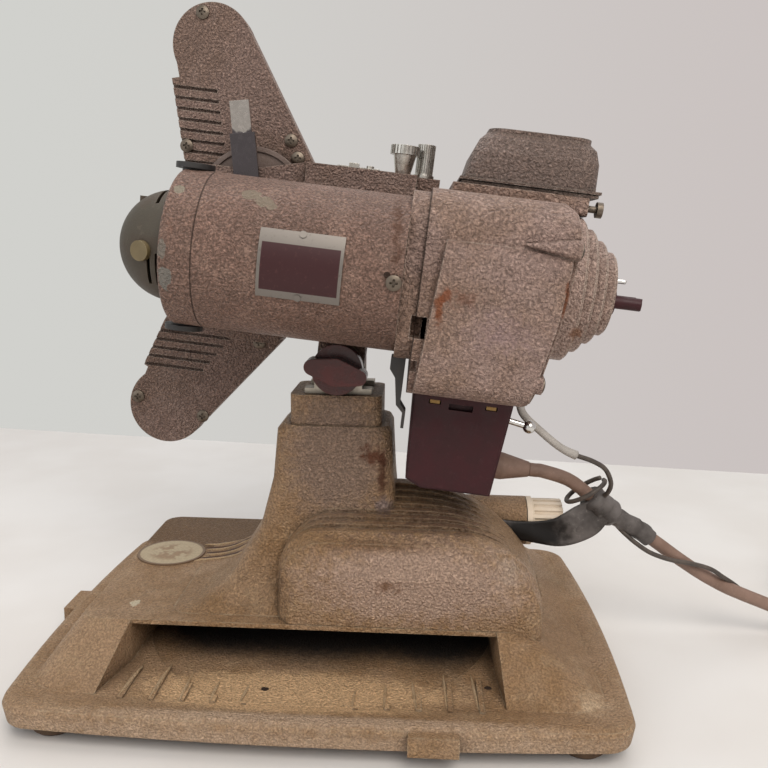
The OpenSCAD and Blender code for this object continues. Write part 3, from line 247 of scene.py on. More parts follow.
def crinkleEnamel(name, look):
    # Hammer-finish enamel, sprayed and baked: a puffed skin like fine leather, with a painted highlight on
    # its crowns, painted shade in its hollows, and thin dark creases of painted shade between them
    material, tree, place = newMaterial(name)
    grain = look["grainMm"]
    bend = addNode(tree, "TexNoise", {"Scale": perMetre(grain * 1.5), "Detail": 1.0},
                   {"Vector": place}).outputs["Color"]
    push = {"operation": "MULTIPLY_ADD", 1: (grain * 0.0009,) * 3}  # nearly one grain, to bend straight cells
    pushed = addNode(tree, "VectorMath", push, {0: bend, 2: place})
    puffs = clouds(tree, pushed, grain, 0.27, 0.73)
    cellSettings = {"feature": "DISTANCE_TO_EDGE", "Scale": perMetre(grain * look["curlSize"])}
    cells = addNode(tree, "TexVoronoi", cellSettings, {"Vector": pushed})
    creases = addNode(tree, "MapRange", smooth(look["creaseWide"], 0.0), {"Value": cells})
    broken = clouds(tree, place, grain * 3.0, 0.42, 0.6, 2.0)
    curls = addNode(tree, "Math", {"operation": "MULTIPLY"}, {0: creases, 1: broken})
    domed = addNode(tree, "MapRange", smooth(0.0, 0.3, 0.0, 0.6), {"Value": cells})
    crust = addNode(tree, "Math", {"operation": "ADD"}, {0: domed, 1: puffs})
    colour = coat(tree, look["paint"], look["warm"], clouds(tree, place, 38.0, 0.38, 0.62))
    dusty = clouds(tree, place, 14.0, 0.48, 0.7, 4.0, 0.65)
    colour = coat(tree, colour, look["dustColour"], dusty, look["dust"])
    colour = paintMarks(tree, place, colour, [m for m in look["marks"] if m["under"]])
    # Painted light: puff crowns lighter as a painted highlight, their hollows darker as painted shade
    colour = shade(tree, colour, puffs, look["mottle"])
    # Painted shade: the creases darkened
    colour = coat(tree, colour, look["grooveShade"], curls, look["curlDepth"])
    # Painted shade with grime: darker deep in corners
    colour = coat(tree, colour, look["shadeAndDirt"], grimeMask(tree, look["grimeMm"], 0.35, 0.85), look["grime"])
    worn = edgeWear(tree, place, 0.9, 7.0, look["wearFrom"], 0.6)
    colour = coat(tree, colour, look["bare"], worn, look["wear"])
    dull = smooth(0.2, 1.4, look["roughness"] + 0.16, look["roughness"])
    gloss = addNode(tree, "MapRange", dull, {"Value": crust})
    for mark in [m for m in look["marks"] if not m["under"]]:  # bare or rusty spots are dull too
        mask = markMask(tree, place, mark)
        colour = coat(tree, colour, mark["colour"], mask, mark["strength"])
        share = addNode(tree, "Math", {"operation": "MULTIPLY", 1: mark["strength"]}, {0: mask})
        gloss = addNode(tree, "Mix", {"data_type": "FLOAT", 3: look["markRoughness"]}, {0: share, 2: gloss})
    normal = relief(tree, crust, look["bump"], grain * 0.85, look["edgeMm"])
    closeMaterial(tree, {"Metallic": look["metal"], "IOR": 1.5},
                  {"Base Color": colour, "Roughness": gloss, "Normal": normal})
    return material


def smoothEnamel(name, look):
    # Satin metallic enamel on a smooth casting: a fine cloudy flake, scuffed and grimy, with painted shade
    # deep in its corners
    material, tree, place = newMaterial(name)
    flake = clouds(tree, place, look["grainMm"], 0.3, 0.7, 3.0, 0.7)
    colour = coat(tree, look["paint"], look["warm"], clouds(tree, place, 22.0, 0.38, 0.64, 4.0))
    colour = coat(tree, colour, look["speck"], flake, look["speckle"])
    colour = coat(tree, colour, look["bare"], clouds(tree, place, 5.0, 0.6, 0.68, 5.0, 0.75), look["scuff"])
    # Painted shade with grime: darker deep in corners
    colour = coat(tree, colour, look["shadeAndDirt"], grimeMask(tree, 9.0, 0.35, 0.85), look["grime"])
    colour = coat(tree, colour, look["bare"], edgeWear(tree, place, 0.6, 6.0, 0.4, 0.58), look["wear"])
    dull = smooth(0.0, 1.0, look["roughness"], look["roughness"] + 0.1)
    gloss = addNode(tree, "MapRange", dull, {"Value": flake})
    normal = relief(tree, flake, look["bump"], 0.2, 0.6)
    closeMaterial(tree, {"Metallic": look["metal"], "IOR": 1.5},
                  {"Base Color": colour, "Roughness": gloss, "Normal": normal})
    return material


def platedMetal(name, look):
    # Nickel or chrome plate, turned or pressed: bright with soft smudges, brown tarnish in the corners
    material, tree, place = newMaterial(name)
    smudge = clouds(tree, place, 6.0, 0.35, 0.7, 4.0)
    colour = coat(tree, look["metal"], look["stain"], smudge, look["tarnish"])
    colour = coat(tree, colour, look["shadeAndDirt"], grimeMask(tree, 4.0), look["grime"])
    colour = paintMarks(tree, place, colour, look["marks"])
    gloss = clouds(tree, place, 2.5, 0.3, 0.75, start=look["roughness"], end=look["roughness"] + 0.18)
    normal = relief(tree, smudge, 0.08, 0.1, 0.3)
    closeMaterial(tree, {"Metallic": 1.0}, {"Base Color": colour, "Roughness": gloss, "Normal": normal})
    return material


def mouldedPlastic(name, look):
    # Pressed phenolic, urea, rubber or vinyl: faint flow marks, dull dust and paler rubbed edges
    material, tree, place = newMaterial(name)
    flow = clouds(tree, place, look["flowMm"], 0.35, 0.68, 4.0)
    dust = clouds(tree, place, 2.2, 0.55, 0.75, 4.0, 0.7)
    colour = coat(tree, look["body"], look["faded"], flow)
    colour = coat(tree, colour, look["dustColour"], dust, look["dust"])
    # Painted shade with grime: darker deep in corners
    colour = coat(tree, colour, look["shadeAndDirt"], grimeMask(tree, 5.0), look["grime"])
    colour = coat(tree, colour, look["rubbed"], edgeWear(tree, place, 0.5, 4.0, 0.4, 0.6), look["wear"])
    dull = smooth(0.0, 1.0, look["roughness"], look["roughness"] + 0.15)
    gloss = addNode(tree, "MapRange", dull, {"Value": flow})
    normal = relief(tree, dust, look["bump"], 0.2, 0.5)
    closeMaterial(tree, {"IOR": look["ior"]}, {"Base Color": colour, "Roughness": gloss, "Normal": normal})
    return material


def clearGlass(name, tint):
    # Blown or ground glass: clear, with a faint film of dust
    material, tree, place = newMaterial(name)
    film = clouds(tree, place, 7.0, 0.3, 0.8, 4.0, start=0.02, end=0.16)
    closeMaterial(tree, {"Base Color": linear(tint), "Transmission Weight": 1.0, "IOR": 1.5},
                  {"Roughness": film})
    return material


def gumTape(name, look):
    # Cloth-backed rubber tape: nearly black where it is handled, grey with dust where it is not, pulled
    # into faint creases
    material, tree, place = newMaterial(name)
    mottled = clouds(tree, place, 16.0, 0.34, 0.66, 3.0, 0.55)
    streak = clouds(tree, place, 3.0, 0.55, 0.72, 4.0, 0.75)
    colour = coat(tree, look["gum"], look["dusty"], mottled)
    colour = coat(tree, colour, look["pale"], streak, 0.35)
    # Painted shade with grime: darker deep in corners
    colour = coat(tree, colour, look["shadeAndDirt"], grimeMask(tree, 4.0), 0.5)
    colour = paintMarks(tree, place, colour, look["marks"])
    height = addNode(tree, "Mix", {"data_type": "FLOAT", 0: 0.4}, {2: mottled, 3: streak})
    bump = addNode(tree, "Bump", {"Strength": 0.3, "Distance": 0.0004}, {"Height": height})
    closeMaterial(tree, {"IOR": 1.35, "Roughness": 0.5}, {"Base Color": colour, "Normal": bump})
    return material


# Bare instruction plate, on the head's own axes: a bright border and a header band round a dark red field
plateLook = {"fromU": -35.0, "toU": 2.0, "axisY": -40.0, "axisW": 52.4, "halfHigh": 14.75, "borderMm": 1.4,
             "footMm": 1.2, "headerMm": 6.4, "blurMm": 0.1,
             "silver": "#7c7670", "dull": "#625c56", "field": "#33090e", "worn": "#5d3836"}


def platePaint(name, look):
    # Anodised aluminium plate with a printed field: silver where it is bare, dark maroon where it is dyed
    material, tree, place = newMaterial(name)
    origin = tuple(headPoint(0, look["axisY"], look["axisW"]))
    away = addNode(tree, "VectorMath", {"operation": "SUBTRACT", 1: origin}, {0: place})
    ways = [{"operation": "DOT_PRODUCT", 1: tuple(headWay(*way) * 1000)} for way in ((1, 0, 0), (0, 0, 1))]
    along, upward = (addNode(tree, "VectorMath", way, {0: away}) for way in ways)
    blur = look["blurMm"]
    sides = ((along, look["fromU"] + look["borderMm"], blur), (along, look["toU"] - look["borderMm"], -blur),
             (upward, look["halfHigh"] - look["headerMm"], -blur),
             (upward, look["borderMm"] + look["footMm"] - look["halfHigh"], blur))
    inside = None
    for way, edge, reach in sides:
        step = addNode(tree, "MapRange", smooth(edge - reach, edge + reach), {"Value": way})
        inside = addNode(tree, "Math", {"operation": "MULTIPLY"}, {0: inside, 1: step}) if inside else step
    scuff = clouds(tree, place, 2.4, 0.56, 0.7, 4.0, 0.7)
    silver = coat(tree, look["silver"], look["dull"], scuff, 0.5)
    field = coat(tree, look["field"], look["worn"], scuff, 0.25)
    metal = addNode(tree, "MapRange", smooth(0.0, 1.0, 0.75, 0.1), {"Value": inside})
    colour = coat(tree, silver, field, inside)
    closeMaterial(tree, {"Roughness": 0.45}, {"Base Color": colour, "Metallic": metal})
    return material


# Bare oval badge on the deck: its middle and half sizes in millimetres
badgeLook = {"middle": (-103.0, 27.7, 39.4), "half": (20.0, 18.8), "face": "#a9987c", "worn": "#876c50",
             "grooveShade": "#5a3d28"}


def badgePaint(name, look):
    # Worn pale enamel over a shallow pressed oval: a dark ring of painted shade round it, brown where the
    # middle is rubbed, with a faint painted highlight on the crowns of its grain
    material, tree, place = newMaterial(name)
    middle = tuple(basePoint(*look["middle"]))
    away = addNode(tree, "VectorMath", {"operation": "SUBTRACT", 1: middle}, {0: place})
    oval = {"operation": "MULTIPLY", 1: (1000 / look["half"][0], 1000 / look["half"][1], 0.0)}
    sized = addNode(tree, "VectorMath", oval, {0: away})
    far = addNode(tree, "VectorMath", {"operation": "LENGTH"}, {0: sized})
    inner = addNode(tree, "MapRange", smooth(0.75, 0.45), {"Value": far})
    cloudy = clouds(tree, place, 13.0, 0.44, 0.52)
    rubbed = addNode(tree, "Math", {"operation": "MULTIPLY"}, {0: cloudy, 1: inner})
    colour = coat(tree, look["face"], look["worn"], rubbed, 0.85)
    # Painted light: crowns of the fine grain lighter, hollows darker
    colour = shade(tree, colour, clouds(tree, place, 1.6, 0.35, 0.65), 0.08)
    # Painted shade: a dark ring round the oval
    rim = addNode(tree, "MapRange", smooth(0.9, 0.94), {"Value": far})
    colour = coat(tree, colour, look["grooveShade"], rim, 0.8)
    bump = addNode(tree, "Bump", {"Strength": 0.5, "Distance": 0.0005}, {"Height": rubbed})
    closeMaterial(tree, {"Roughness": 0.55, "IOR": 1.5}, {"Base Color": colour, "Normal": bump})
    return material


# Marks on the enamels: chips that show the undercoat, rust, stains, the deck's worn parts, and painted light
# and painted shade on the base and the column
tubeMarks = [
    seam(-64.0, 0.85),
    spot((-32.2, -63.0, 246.8), (5.0, 6.0, 2.2), "#978a78", 0.85, 1.5, raggedMm=6.0),
    spot((-25.8, -65.0, 244.0), (4.6, 6.0, 2.6), "#978a78", 0.85, 1.5, raggedMm=5.0),
    spot((-22.0, -66.0, 241.5), (2.6, 6.0, 1.6), "#978a78", 0.8, 1.4, raggedMm=5.0),
    spot((28.7, -74.8, 213.4), (1.5, 5.0, 1.5), "#3c2a20", 1.0, 0.4),
    spot((33.0, -64.0, 230.0), (3.4, 24.0, 34.0), "#5c3a26", 0.7, 2.2, 0.9),
    spot((-12.0, -76.0, 190.0), (48.0, 20.0, 9.0), "#7a5540", 0.4, 2.4, 1.2)]
shieldMarks = [
    seam(-64.0, 0.85),
    spot((-63.6, -64.0, 248.6), (2.9, 5.0, 2.2), "#a39a88", 0.85),
    spot((-68.8, -72.4, 210.2), (3.2, 5.0, 5.8), "#85847d", 0.8, 1.5),
    spot((-69.0, -74.7, 222.0), (2.0, 5.0, 4.2), "#857f75", 0.8, 1.4),
    spot((-65.0, -70.0, 230.0), (3.0, 6.0, 7.0), "#7d4a34", 0.5, 2.2, 0.9)]
houseMarks = [
    seam(36.0, 0.75),
    spot((51.5, -68.3, 199.0), (2.6, 7.0, 10.0), "#83461f", 0.85, 1.8, 0.7),
    spot((54.5, -68.3, 205.0), (3.4, 7.0, 5.0), "#8d4d2a", 0.8, 2.2, 0.8),
    spot((62.0, -69.0, 204.0), (9.0, 8.0, 6.0), "#7a4c35", 0.55, 2.6, 1.1),
    spot((107.3, -64.3, 203.6), (1.6, 8.0, 12.0), "#7d4420", 0.8, 2.0, 0.6),
    spot((80.0, -69.0, 188.0), (20.0, 8.0, 14.0), "#a08686", 0.5, 2.6, 1.2)]
coverMarks = [spot((118.0, -39.3, 185.4), (5.0, 9.0, 6.0), "#8a5a36", 0.7, 2.0, 0.8)]
baseMarks = [
    spot((-102.0, -37.0, 39.0), (2.6, 3.4, 3.0), "#cfc2a8", 1.0, 1.6, raggedMm=2.5),
    spot((-26.5, -72.4, 15.2), (1.8, 1.8, 3.0), "#2e1d12", 1.0, 1.0),
    spot((80.7, -66.5, 16.7), (1.8, 1.8, 3.0), "#2e1d12", 1.0, 1.0),
    spot((-6.0, 12.0, 0.0), (118.0, 86.0, 30.0), "#0b0705", 0.97, 0.1, 0.3),  # three of nearly black painted shade in the slot
    spot((60.0, 12.0, 0.0), (60.0, 88.0, 30.0), "#0b0705", 0.97, 0.1, 0.3),
    spot((-60.0, 12.0, 0.0), (60.0, 78.0, 30.0), "#0b0705", 0.97, 0.1, 0.3),
    # painted light: the front tray made paler
    spot((-10.0, -78.0, 16.0), (92.0, 26.0, 6.0), "#dab489", 0.85, 0.6, 0.4, under=True),
    spot((-65.0, -5.0, 39.0), (26.0, 30.0, 6.0), "#5f4529", 0.75, 2.4, 1.4, under=True),
    # painted shade on the back of the deck
    spot((-85.0, 70.0, 39.0), (80.0, 42.0, 9.0), "#5a3a0c", 0.85, 0.4, 0.35, under=True),
    spot((55.0, -85.0, 17.0), (50.0, 7.0, 4.0), "#5f4226", 0.5, 2.8, 1.2, under=True),
    spot((128.0, -80.0, 19.0), (12.0, 12.0, 8.0), "#d2b899", 0.75, 1.8, 1.1, under=True),
    # painted light: the base's front face made paler
    spot((0.0, -101.0, 12.0), (170.0, 7.0, 14.0), "#c0a58c", 0.8, 0.5, 0.5, under=True),
    spot((54.0, -106.5, 12.0), (14.0, 3.0, 5.5), "#7b6a58", 0.8, 0.8, 0.5, under=True)]
pedestalMarks = [
    spot((45.0, -48.0, 62.0), (76.0, 34.0, 28.0), "#b79b88", 0.95, 0.8, 0.6, under=True),
    # painted shade on the column, under the head
    spot((2.0, -25.0, 120.0), (36.0, 34.0, 50.0), "#8b7464", 0.95, 0.6, 0.6, under=True),
    spot((21.5, -24.0, 119.0), (9.0, 8.0, 8.0), "#5a2d12", 0.9, 2.2, 0.9),
    spot((26.2, -24.0, 107.0), (3.6, 8.0, 15.0), "#4f2911", 0.9, 1.8, 0.9),
    spot((27.4, -24.7, 92.2), (7.0, 8.0, 8.0), "#948583", 0.8, 1.8, 1.0, under=True),
    spot((-23.0, -42.0, 56.0), (12.0, 18.0, 16.0), "#5c4023", 0.8, 2.0, 1.1, under=True),
    spot((25.0, -48.0, 80.0), (40.0, 8.0, 5.0), "#6b4a27", 0.75, 2.2, 1.0, under=True),
    spot((30.0, -51.0, 60.0), (9.0, 12.0, 4.5), "#6b421c", 0.8, 2.2, 1.0),
    spot((90.0, -48.0, 70.0), (10.0, 12.0, 14.0), "#baa390", 0.7, 2.2, 1.1, under=True),
    spot((60.0, -30.0, 88.0), (64.0, 34.0, 9.0), "#573b2c", 0.8, 1.6, 1.0, under=True)]
leverTip = headPoint(-66.0, 2.0, 121.5) * 1000
leverMarks = [spot(leverTip, (10.0, 6.0, 9.5), "#b9b1aa", 0.9, 0.5, raggedMm=3.0)]
tapeMarks = [spot((110.0, 3.0, 70.0), (24.0, 16.0, 16.0), "#0c0908", 0.96, 1.0, 0.6)]  # its handled end

# What each finish looks like: colours as sRGB in these orders, sizes in millimetres
enamelColours = ("paint", "warm", "dustColour", "grooveShade", "shadeAndDirt", "bare")
metalColours = ("metal", "stain", "shadeAndDirt")
plasticColours = ("body", "faded", "dustColour", "shadeAndDirt", "rubbed")


def newLook(base, order, codes, **rest):
    return dict(base, **dict(zip(order, codes.split())), **rest)


castingLook = newLook(
    {}, enamelColours, "#a68768 #997855 #b09474 #4e3823 #46311b #b9a386", grainMm=1.0, curlSize=2.3,
    creaseWide=0.14, curlDepth=0.22, mottle=0.26, bump=0.8, roughness=0.4, markRoughness=0.75, metal=0.15,
    grime=0.7, grimeMm=14.0, wear=0.8, wearFrom=0.34, edgeMm=0.9, dust=0.5)
# A paler copy of the casting enamel for the ribs: a painted highlight on their crowns
ribHighlightLook = newLook(
    castingLook, enamelColours, "#c9ac88 #bf9f79 #ccb191 #4e3823 #46311b #b9a386", mottle=0.12,
    curlDepth=0.1, grime=0.1)
pedestalLook = dict(
    castingLook, grooveShade="#4a3628", grainMm=1.2, curlSize=1.8, curlDepth=0.2, mottle=0.28, bump=0.9,
    grime=0.9, grimeMm=5.0, wear=0.6, wearFrom=0.3, edgeMm=0.5)
tubeLook = newLook(
    castingLook, enamelColours, "#8d6f61 #82675a #9c8071 #402b22 #452e22 #b39c8b", grainMm=1.1,
    curlSize=2.2, curlDepth=0.35, mottle=0.38, bump=1.0, metal=0.25, wear=0.35, roughness=0.36, grime=0.6)
houseLook = newLook(
    castingLook, enamelColours, "#a58b80 #9b8070 #b0978b #3f2b22 #4c3120 #c4b0a2", grainMm=1.3,
    curlDepth=0.45, mottle=0.32, bump=1.0, metal=0.2, wear=0.95, wearFrom=0.25, grimeMm=8.0)
coverLook = dict(houseLook, paint="#bda397", warm="#b09689", bare="#d0bdae", wear=1.0, wearFrom=0.1)
hoodLook = newLook(
    houseLook, enamelColours, "#837067 #7c695f #917e74 #372c28 #382d27 #a39689", grainMm=1.2, wear=0.7)
armLook = newLook(
    tubeLook, enamelColours, "#8d756a #856d60 #9b8479 #332520 #2b1f18 #b3a193", mottle=0.34, bump=0.95,
    metal=0.3, wear=0.85, wearFrom=0.3, grime=0.8, grimeMm=6.0)
crinkled = [
    ("castingEnamel", castingLook, baseMarks, "base_casting knob_tube"),
    ("ribHighlightEnamel", ribHighlightLook, [], ""),
    ("pedestalEnamel", pedestalLook, pedestalMarks, "pedestal"),
    ("tubeEnamel", tubeLook, tubeMarks, "motor_tube"),
    ("shieldEnamel", tubeLook, shieldMarks, "motor_end_shield"),
    ("houseEnamel", houseLook, houseMarks, "lamp_house"),
    ("coverEnamel", coverLook, coverMarks, "rear_cover"),
    ("hoodEnamel", hoodLook, [], "lamp_hood"),
    ("armEnamel", armLook, [],
     "mechanism_casting film_plate feed_arm feed_arm_cover take_up_arm take_up_cover")]
for name, look, marks, wearers in crinkled:
    dress(crinkleEnamel(name, dict(look, marks=marks)), wearers)

discLook = {"paint": "#71625b", "warm": "#6a5951", "speck": "#92837a", "bare": "#a99a8e", "shadeAndDirt": "#3a2b24",
            "grainMm": 0.8, "speckle": 0.4, "bump": 0.3, "roughness": 0.42, "metal": 0.35, "scuff": 0.25,
            "grime": 0.6, "wear": 0.5}
domeLook = dict(discLook, paint="#40392e", warm="#423427", speck="#50493b", bare="#6f6656", shadeAndDirt="#2b2018",
                metal=0.1, roughness=0.5, speckle=0.35)
dress(smoothEnamel("discEnamel", discLook), "clutch_disc")
dress(smoothEnamel("domeEnamel", domeLook), "motor_dome")

# Metals: colours, tarnish, roughness, grime, marks and wearers
metals = [
    ("nickelPlate", "#cdcac3 #a59c8e #3d332a", 0.45, 0.2, 0.6, [],  # warm, bright and clouded
     "tilt_bolt framing_knob speed_knob top_catch film_gate upper_sprocket lower_sprocket"),
    ("chromePlate", "#d4d4d2 #b3afa8 #4a4138", 0.3, 0.14, 0.6, [],  # cold, with hard reflections
     "loop_lever switch_lever feed_spindle take_up_spindle"),
    ("silveredGlass", "#d4d4d2 #b3afa8 #4a4138", 0.3, 0.14, 0.6, [], "reflector"),  # a mirror
    ("polishedSteel", "#5e585a #565052 #35302b", 0.1, 0.14, 0.2, leverMarks, "clutch_lever"),  # dark, clean
    ("tarnishedScrew", "#776d62 #544b42 #1f1813", 0.6, 0.38, 0.95, [],  # brown, black in its slot
     "foot_screws arm_screws house_screws thumb_screw"),
    ("bareCasting", "#b9b2a6 #968c7c #4d4236", 0.5, 0.4, 0.8, [], "neck_fork cooling_fan"),  # pale and dull
    ("tarnishedBrass", "#8a6f48 #6b5230 #3d2f1c", 0.5, 0.3, 0.6, [], "box_contacts"),  # brownish yellow
    ("laminatedSteel", "#75757a #58544f #26211d", 0.4, 0.45, 0.6, [], "stator"),  # matt grey
    ("varnishedCopper", "#a5673c #7c4526 #331d10", 0.4, 0.35, 0.6, [], "rotor")]  # orange
for name, codes, tarnish, roughness, grime, marks, wearers in metals:
    look = newLook({}, metalColours, codes, tarnish=tarnish, roughness=roughness, grime=grime, marks=marks)
    dress(platedMetal(name, look), wearers)

# Plastics and rubbers: colours, roughness, what differs from the usual, and wearers
usualPlastic = {"flowMm": 9.0, "dust": 0.2, "grime": 0.4, "wear": 0.5, "bump": 0.12, "ior": 1.55}
plastics = [
    ("redPhenolic", "#3a0d0b #4a1512 #7a5148 #190706 #8a5a4e", 0.2, {"dust": 0.1, "ior": 1.5},  # polished
     "tilt_knob"),
    ("brownPhenolic", "#31090f #391016 #5b3c3e #180709 #6b4c4c", 0.42, {"dust": 0.14, "ior": 1.4},  # satin
     "rear_knob socket_box"),
    ("blackPhenolic", "#1b1918 #2a2725 #5d5650 #0d0c0b #57504a", 0.4, {}, "brush_caps lens_barrel"),  # satin
    ("creamUrea", "#e2cfb6 #ead9c4 #b6a68a #7a6a50 #efe6d2", 0.45, {"ior": 1.5}, "levelling_knob"),  # waxy
    ("agedUrea", "#655739 #6f6143 #6f5f42 #453722 #a5956e", 0.45, {"grime": 0.8}, "oil_cap"),  # yellowed
    ("blackJapan", "#1d1a18 #2b2622 #6a5a4c #0f0d0b #7b6d60", 0.32, {}, "under_bracket"),  # varnished
    ("glazedPorcelain", "#d8d4ca #e4e1d8 #a89f8f #6f6555 #f0ede6", 0.2, {}, "lamp_socket"),  # glassy
    ("footRubber", "#54402f #634d3a #8a745e #17100c #5c4a3e", 0.8, {"dust": 0.4}, "rubber_feet"),  # matt
    ("cordRubber", "#775d4e #8b7062 #ab9382 #4b3429 #a58a78", 0.55,
     {"flowMm": 16.0, "dust": 0.3, "wear": 0.0, "bump": 0.2},  # brown, gone pale and dusty with age
     "cord_connector power_cord cord_coil"),
    ("plugRubber", "#2c2421 #3b312c #6b5f56 #151110 #6a5d53", 0.5, {}, "mains_plug"),  # black, half matt
    ("wireVinyl", "#3d352f #524840 #857868 #1f1a16 #7d7064", 0.5, {"flowMm": 6.0, "wear": 0.0},  # dark
     "earth_wire"),
    ("sleeveVinyl", "#a09a93 #aca69f #a8a29b #5f574f #bdb8b2", 0.45, {"flowMm": 6.0, "wear": 0.0},  # pale
     ""),
    ("ribGapShade", "#432c1d #4e3524 #5f4531 #2e1d12 #5f4531", 0.8, {}, "")]  # matt brown painted shade between the ribs
for name, codes, roughness, rest, wearers in plastics:
    look = newLook(usualPlastic, plasticColours, codes, roughness=roughness, **rest)
    dress(mouldedPlastic(name, look), wearers)

tapeLook = {"gum": "#3a3532", "dusty": "#67615e", "pale": "#8a837e", "shadeAndDirt": "#1d1917", "marks": tapeMarks}
dress(clearGlass("lampGlass", "#f2f5f6"), "lamp")
dress(clearGlass("lensGlass", "#e6eef0"), "condenser lens_glass")
dress(gumTape("frictionTape", tapeLook), "cord_strap")
dress(platePaint("platePaint", plateLook), "instruction_plate")
dress(badgePaint("badgePaint", badgeLook), "badge_plate")
print("materials:", len(finishes))


# Mesh pieces

def smoothPath(points, steps):  # curve through given points
    found = []
    for i in range(len(points) - 1):
        a, b, c, d = (Vector(points[min(max(k, 0), len(points) - 1)]) for k in (i - 1, i, i + 1, i + 2))
        for k in range(steps):
            t = k / steps
            bent = 2 * b + (c - a) * t + (2 * a - 5 * b + 4 * c - d) * t * t
            found.append(0.5 * (bent + (3 * b - a - 3 * c + d) * t ** 3))
    return found + [Vector(points[-1])]


def pathLength(points):
    return sum((b - a).length for a, b in zip(points, points[1:]))


def pathFrames(points):  # each point with its side and upward way, carried along without twist
    frames = []
    side = None
    for i, here in enumerate(points):
        way = (points[min(i + 1, len(points) - 1)] - points[max(i - 1, 0)]).normalized()
        side = way.orthogonal() if side is None else side
        side = (side - way * side.dot(way)).normalized()
        frames.append((here, side, way.cross(side)))
    return frames


def meshPiece(name, points, faces, finish):
    mesh = bpy.data.meshes.new(name)
    mesh.from_pydata([tuple(p) for p in points], [], faces)
    made = bmesh.new()
    made.from_mesh(mesh)
    bmesh.ops.recalc_face_normals(made, faces=made.faces)
    made.to_mesh(mesh)
    made.free()
    for face in mesh.polygons:
        face.use_smooth = True
    mesh.materials.append(finishes[finish])
    piece = bpy.data.objects.new(name, mesh)
    bpy.context.scene.collection.objects.link(piece)
    return piece


def sweep(name, points, outline, finish):  # outline gives the section's points at a share of the length
    rings, count = [], None
    frames = pathFrames(points)
    for i, (here, side, upward) in enumerate(frames):
        section = outline(i / (len(frames) - 1))
        count = len(section)
        rings += [here + side * a + upward * b for a, b in section]
    faces = [[i * count + k, i * count + (k + 1) % count, (i + 1) * count + (k + 1) % count,
              (i + 1) * count + k] for i in range(len(frames) - 1) for k in range(count)]
    last = (len(frames) - 1) * count
    faces += [list(range(count))[::-1], [last + k for k in range(count)]]
    return meshPiece(name, rings, faces, finish)


def ring(radius, sides):
    angles = [2 * math.pi * k / sides for k in range(sides)]
    return [(radius * math.cos(angle), radius * math.sin(angle)) for angle in angles]


# Mains cord: the stretch that shows, then the put-away coil, all from the source's own route in millimetres
cordFacts = {"diameter": 7.6, "sides": 14, "connectorL": 31.05, "leadMm": (0, 4, 8),
             "inletU": 78.0, "inletY": 4.0, "inletW": -46.5, "bendEnd": (141, 7.5, 90),
             "visible": [(128, 5, 100), (139, 7, 92), (150, 10, 82), (160, 12, 75.5), (170, 14, 69.5),
                         (183, 16, 60.5), (196, 18, 51), (211, 20, 41), (226, 22, 32.5), (240, 23, 26.5),
                         (255, 24, 20.5), (275, 23, 12.5), (297, 19, 6.4), (318, 16.4, 4.1), (330, 16, 3.9),
                         (337, 16, 3.85)],
             "coilAt": (345.0, 64.0, 3.8), "outer": 48.0, "pitch": 8.2, "run": 1.5, "climb": 0.5, "turns": 7,
             "dip": 3.0, "tailTurn": 0.42, "tailR": 58.0, "tailFall": 0.7, "stepsPerTurn": 24,
             "tailSteps": 10}


def ease(s):
    return s * s * (3 - 2 * s)


def coilLayer(t):  # each layer runs flat, then climbs to the next
    whole = cordFacts["run"] + cordFacts["climb"]
    layer = math.floor(t / whole)
    phase = t - layer * whole
    return layer, phase, max(0.0, (phase - cordFacts["run"]) / cordFacts["climb"])


def coilRadius(t):
    layer, phase, climb = coilLayer(t)
    wound = min(phase, cordFacts["run"]) * cordFacts["pitch"]
    dip = cordFacts["dip"] * math.sin(math.pi * climb)
    if layer % 2 == 0:
        return cordFacts["outer"] - wound - dip
    return cordFacts["outer"] - cordFacts["run"] * cordFacts["pitch"] + wound + dip


def coilHeight(t):
    layer, _, climb = coilLayer(t)
    return cordFacts["pitch"] * (layer + ease(climb))


def onCoil(radius, turn, height):
    x, y, z = cordFacts["coilAt"]
    angle = 2 * math.pi * turn - math.pi / 2
    return basePoint(x + radius * math.cos(angle), y + radius * math.sin(angle), z + height)


def coilTail(s):
    turns, fall = cordFacts["turns"], cordFacts["tailFall"]
    start, end = coilRadius(turns), cordFacts["tailR"]
    drop = ease(max(0.0, (s - 1 + fall) / fall))
    return onCoil(start + (end - start) * ease(min(2 * s, 1.0)), turns + cordFacts["tailTurn"] * s,
                  coilHeight(turns) * (1 - drop))


def cordRoute():
    leadU = cordFacts["inletU"] + cordFacts["connectorL"]
    lead = [headPoint(leadU + d, cordFacts["inletY"], cordFacts["inletW"]) for d in cordFacts["leadMm"]]
    shown = smoothPath(lead + [basePoint(*p) for p in cordFacts["visible"]], 4)
    steps = cordFacts["stepsPerTurn"]
    x, y, z = cordFacts["coilAt"]
    wound = [basePoint(x - cordFacts["diameter"] / 2, y - cordFacts["outer"], z)]
    turns = [i / steps for i in range(cordFacts["turns"] * steps + 1)]
    wound += [onCoil(coilRadius(t), t, coilHeight(t)) for t in turns]
    wound += [coilTail((i + 1) / cordFacts["tailSteps"]) for i in range(cordFacts["tailSteps"])]
    last, before = coilTail(1.0), coilTail(0.97)
    way = Vector((last.x - before.x, last.y - before.y, 0)).normalized()
    wound.append(last + way * cordFacts["diameter"] / 1000)
    return shown, shown + wound


shownCord, cordPath = cordRoute()
cordOutline = ring(cordFacts["diameter"] / 2000, cordFacts["sides"])
cordPiece = sweep("mainsCord", cordPath, lambda s: cordOutline, "cordRubber")
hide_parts("power_cord", "cord_coil")


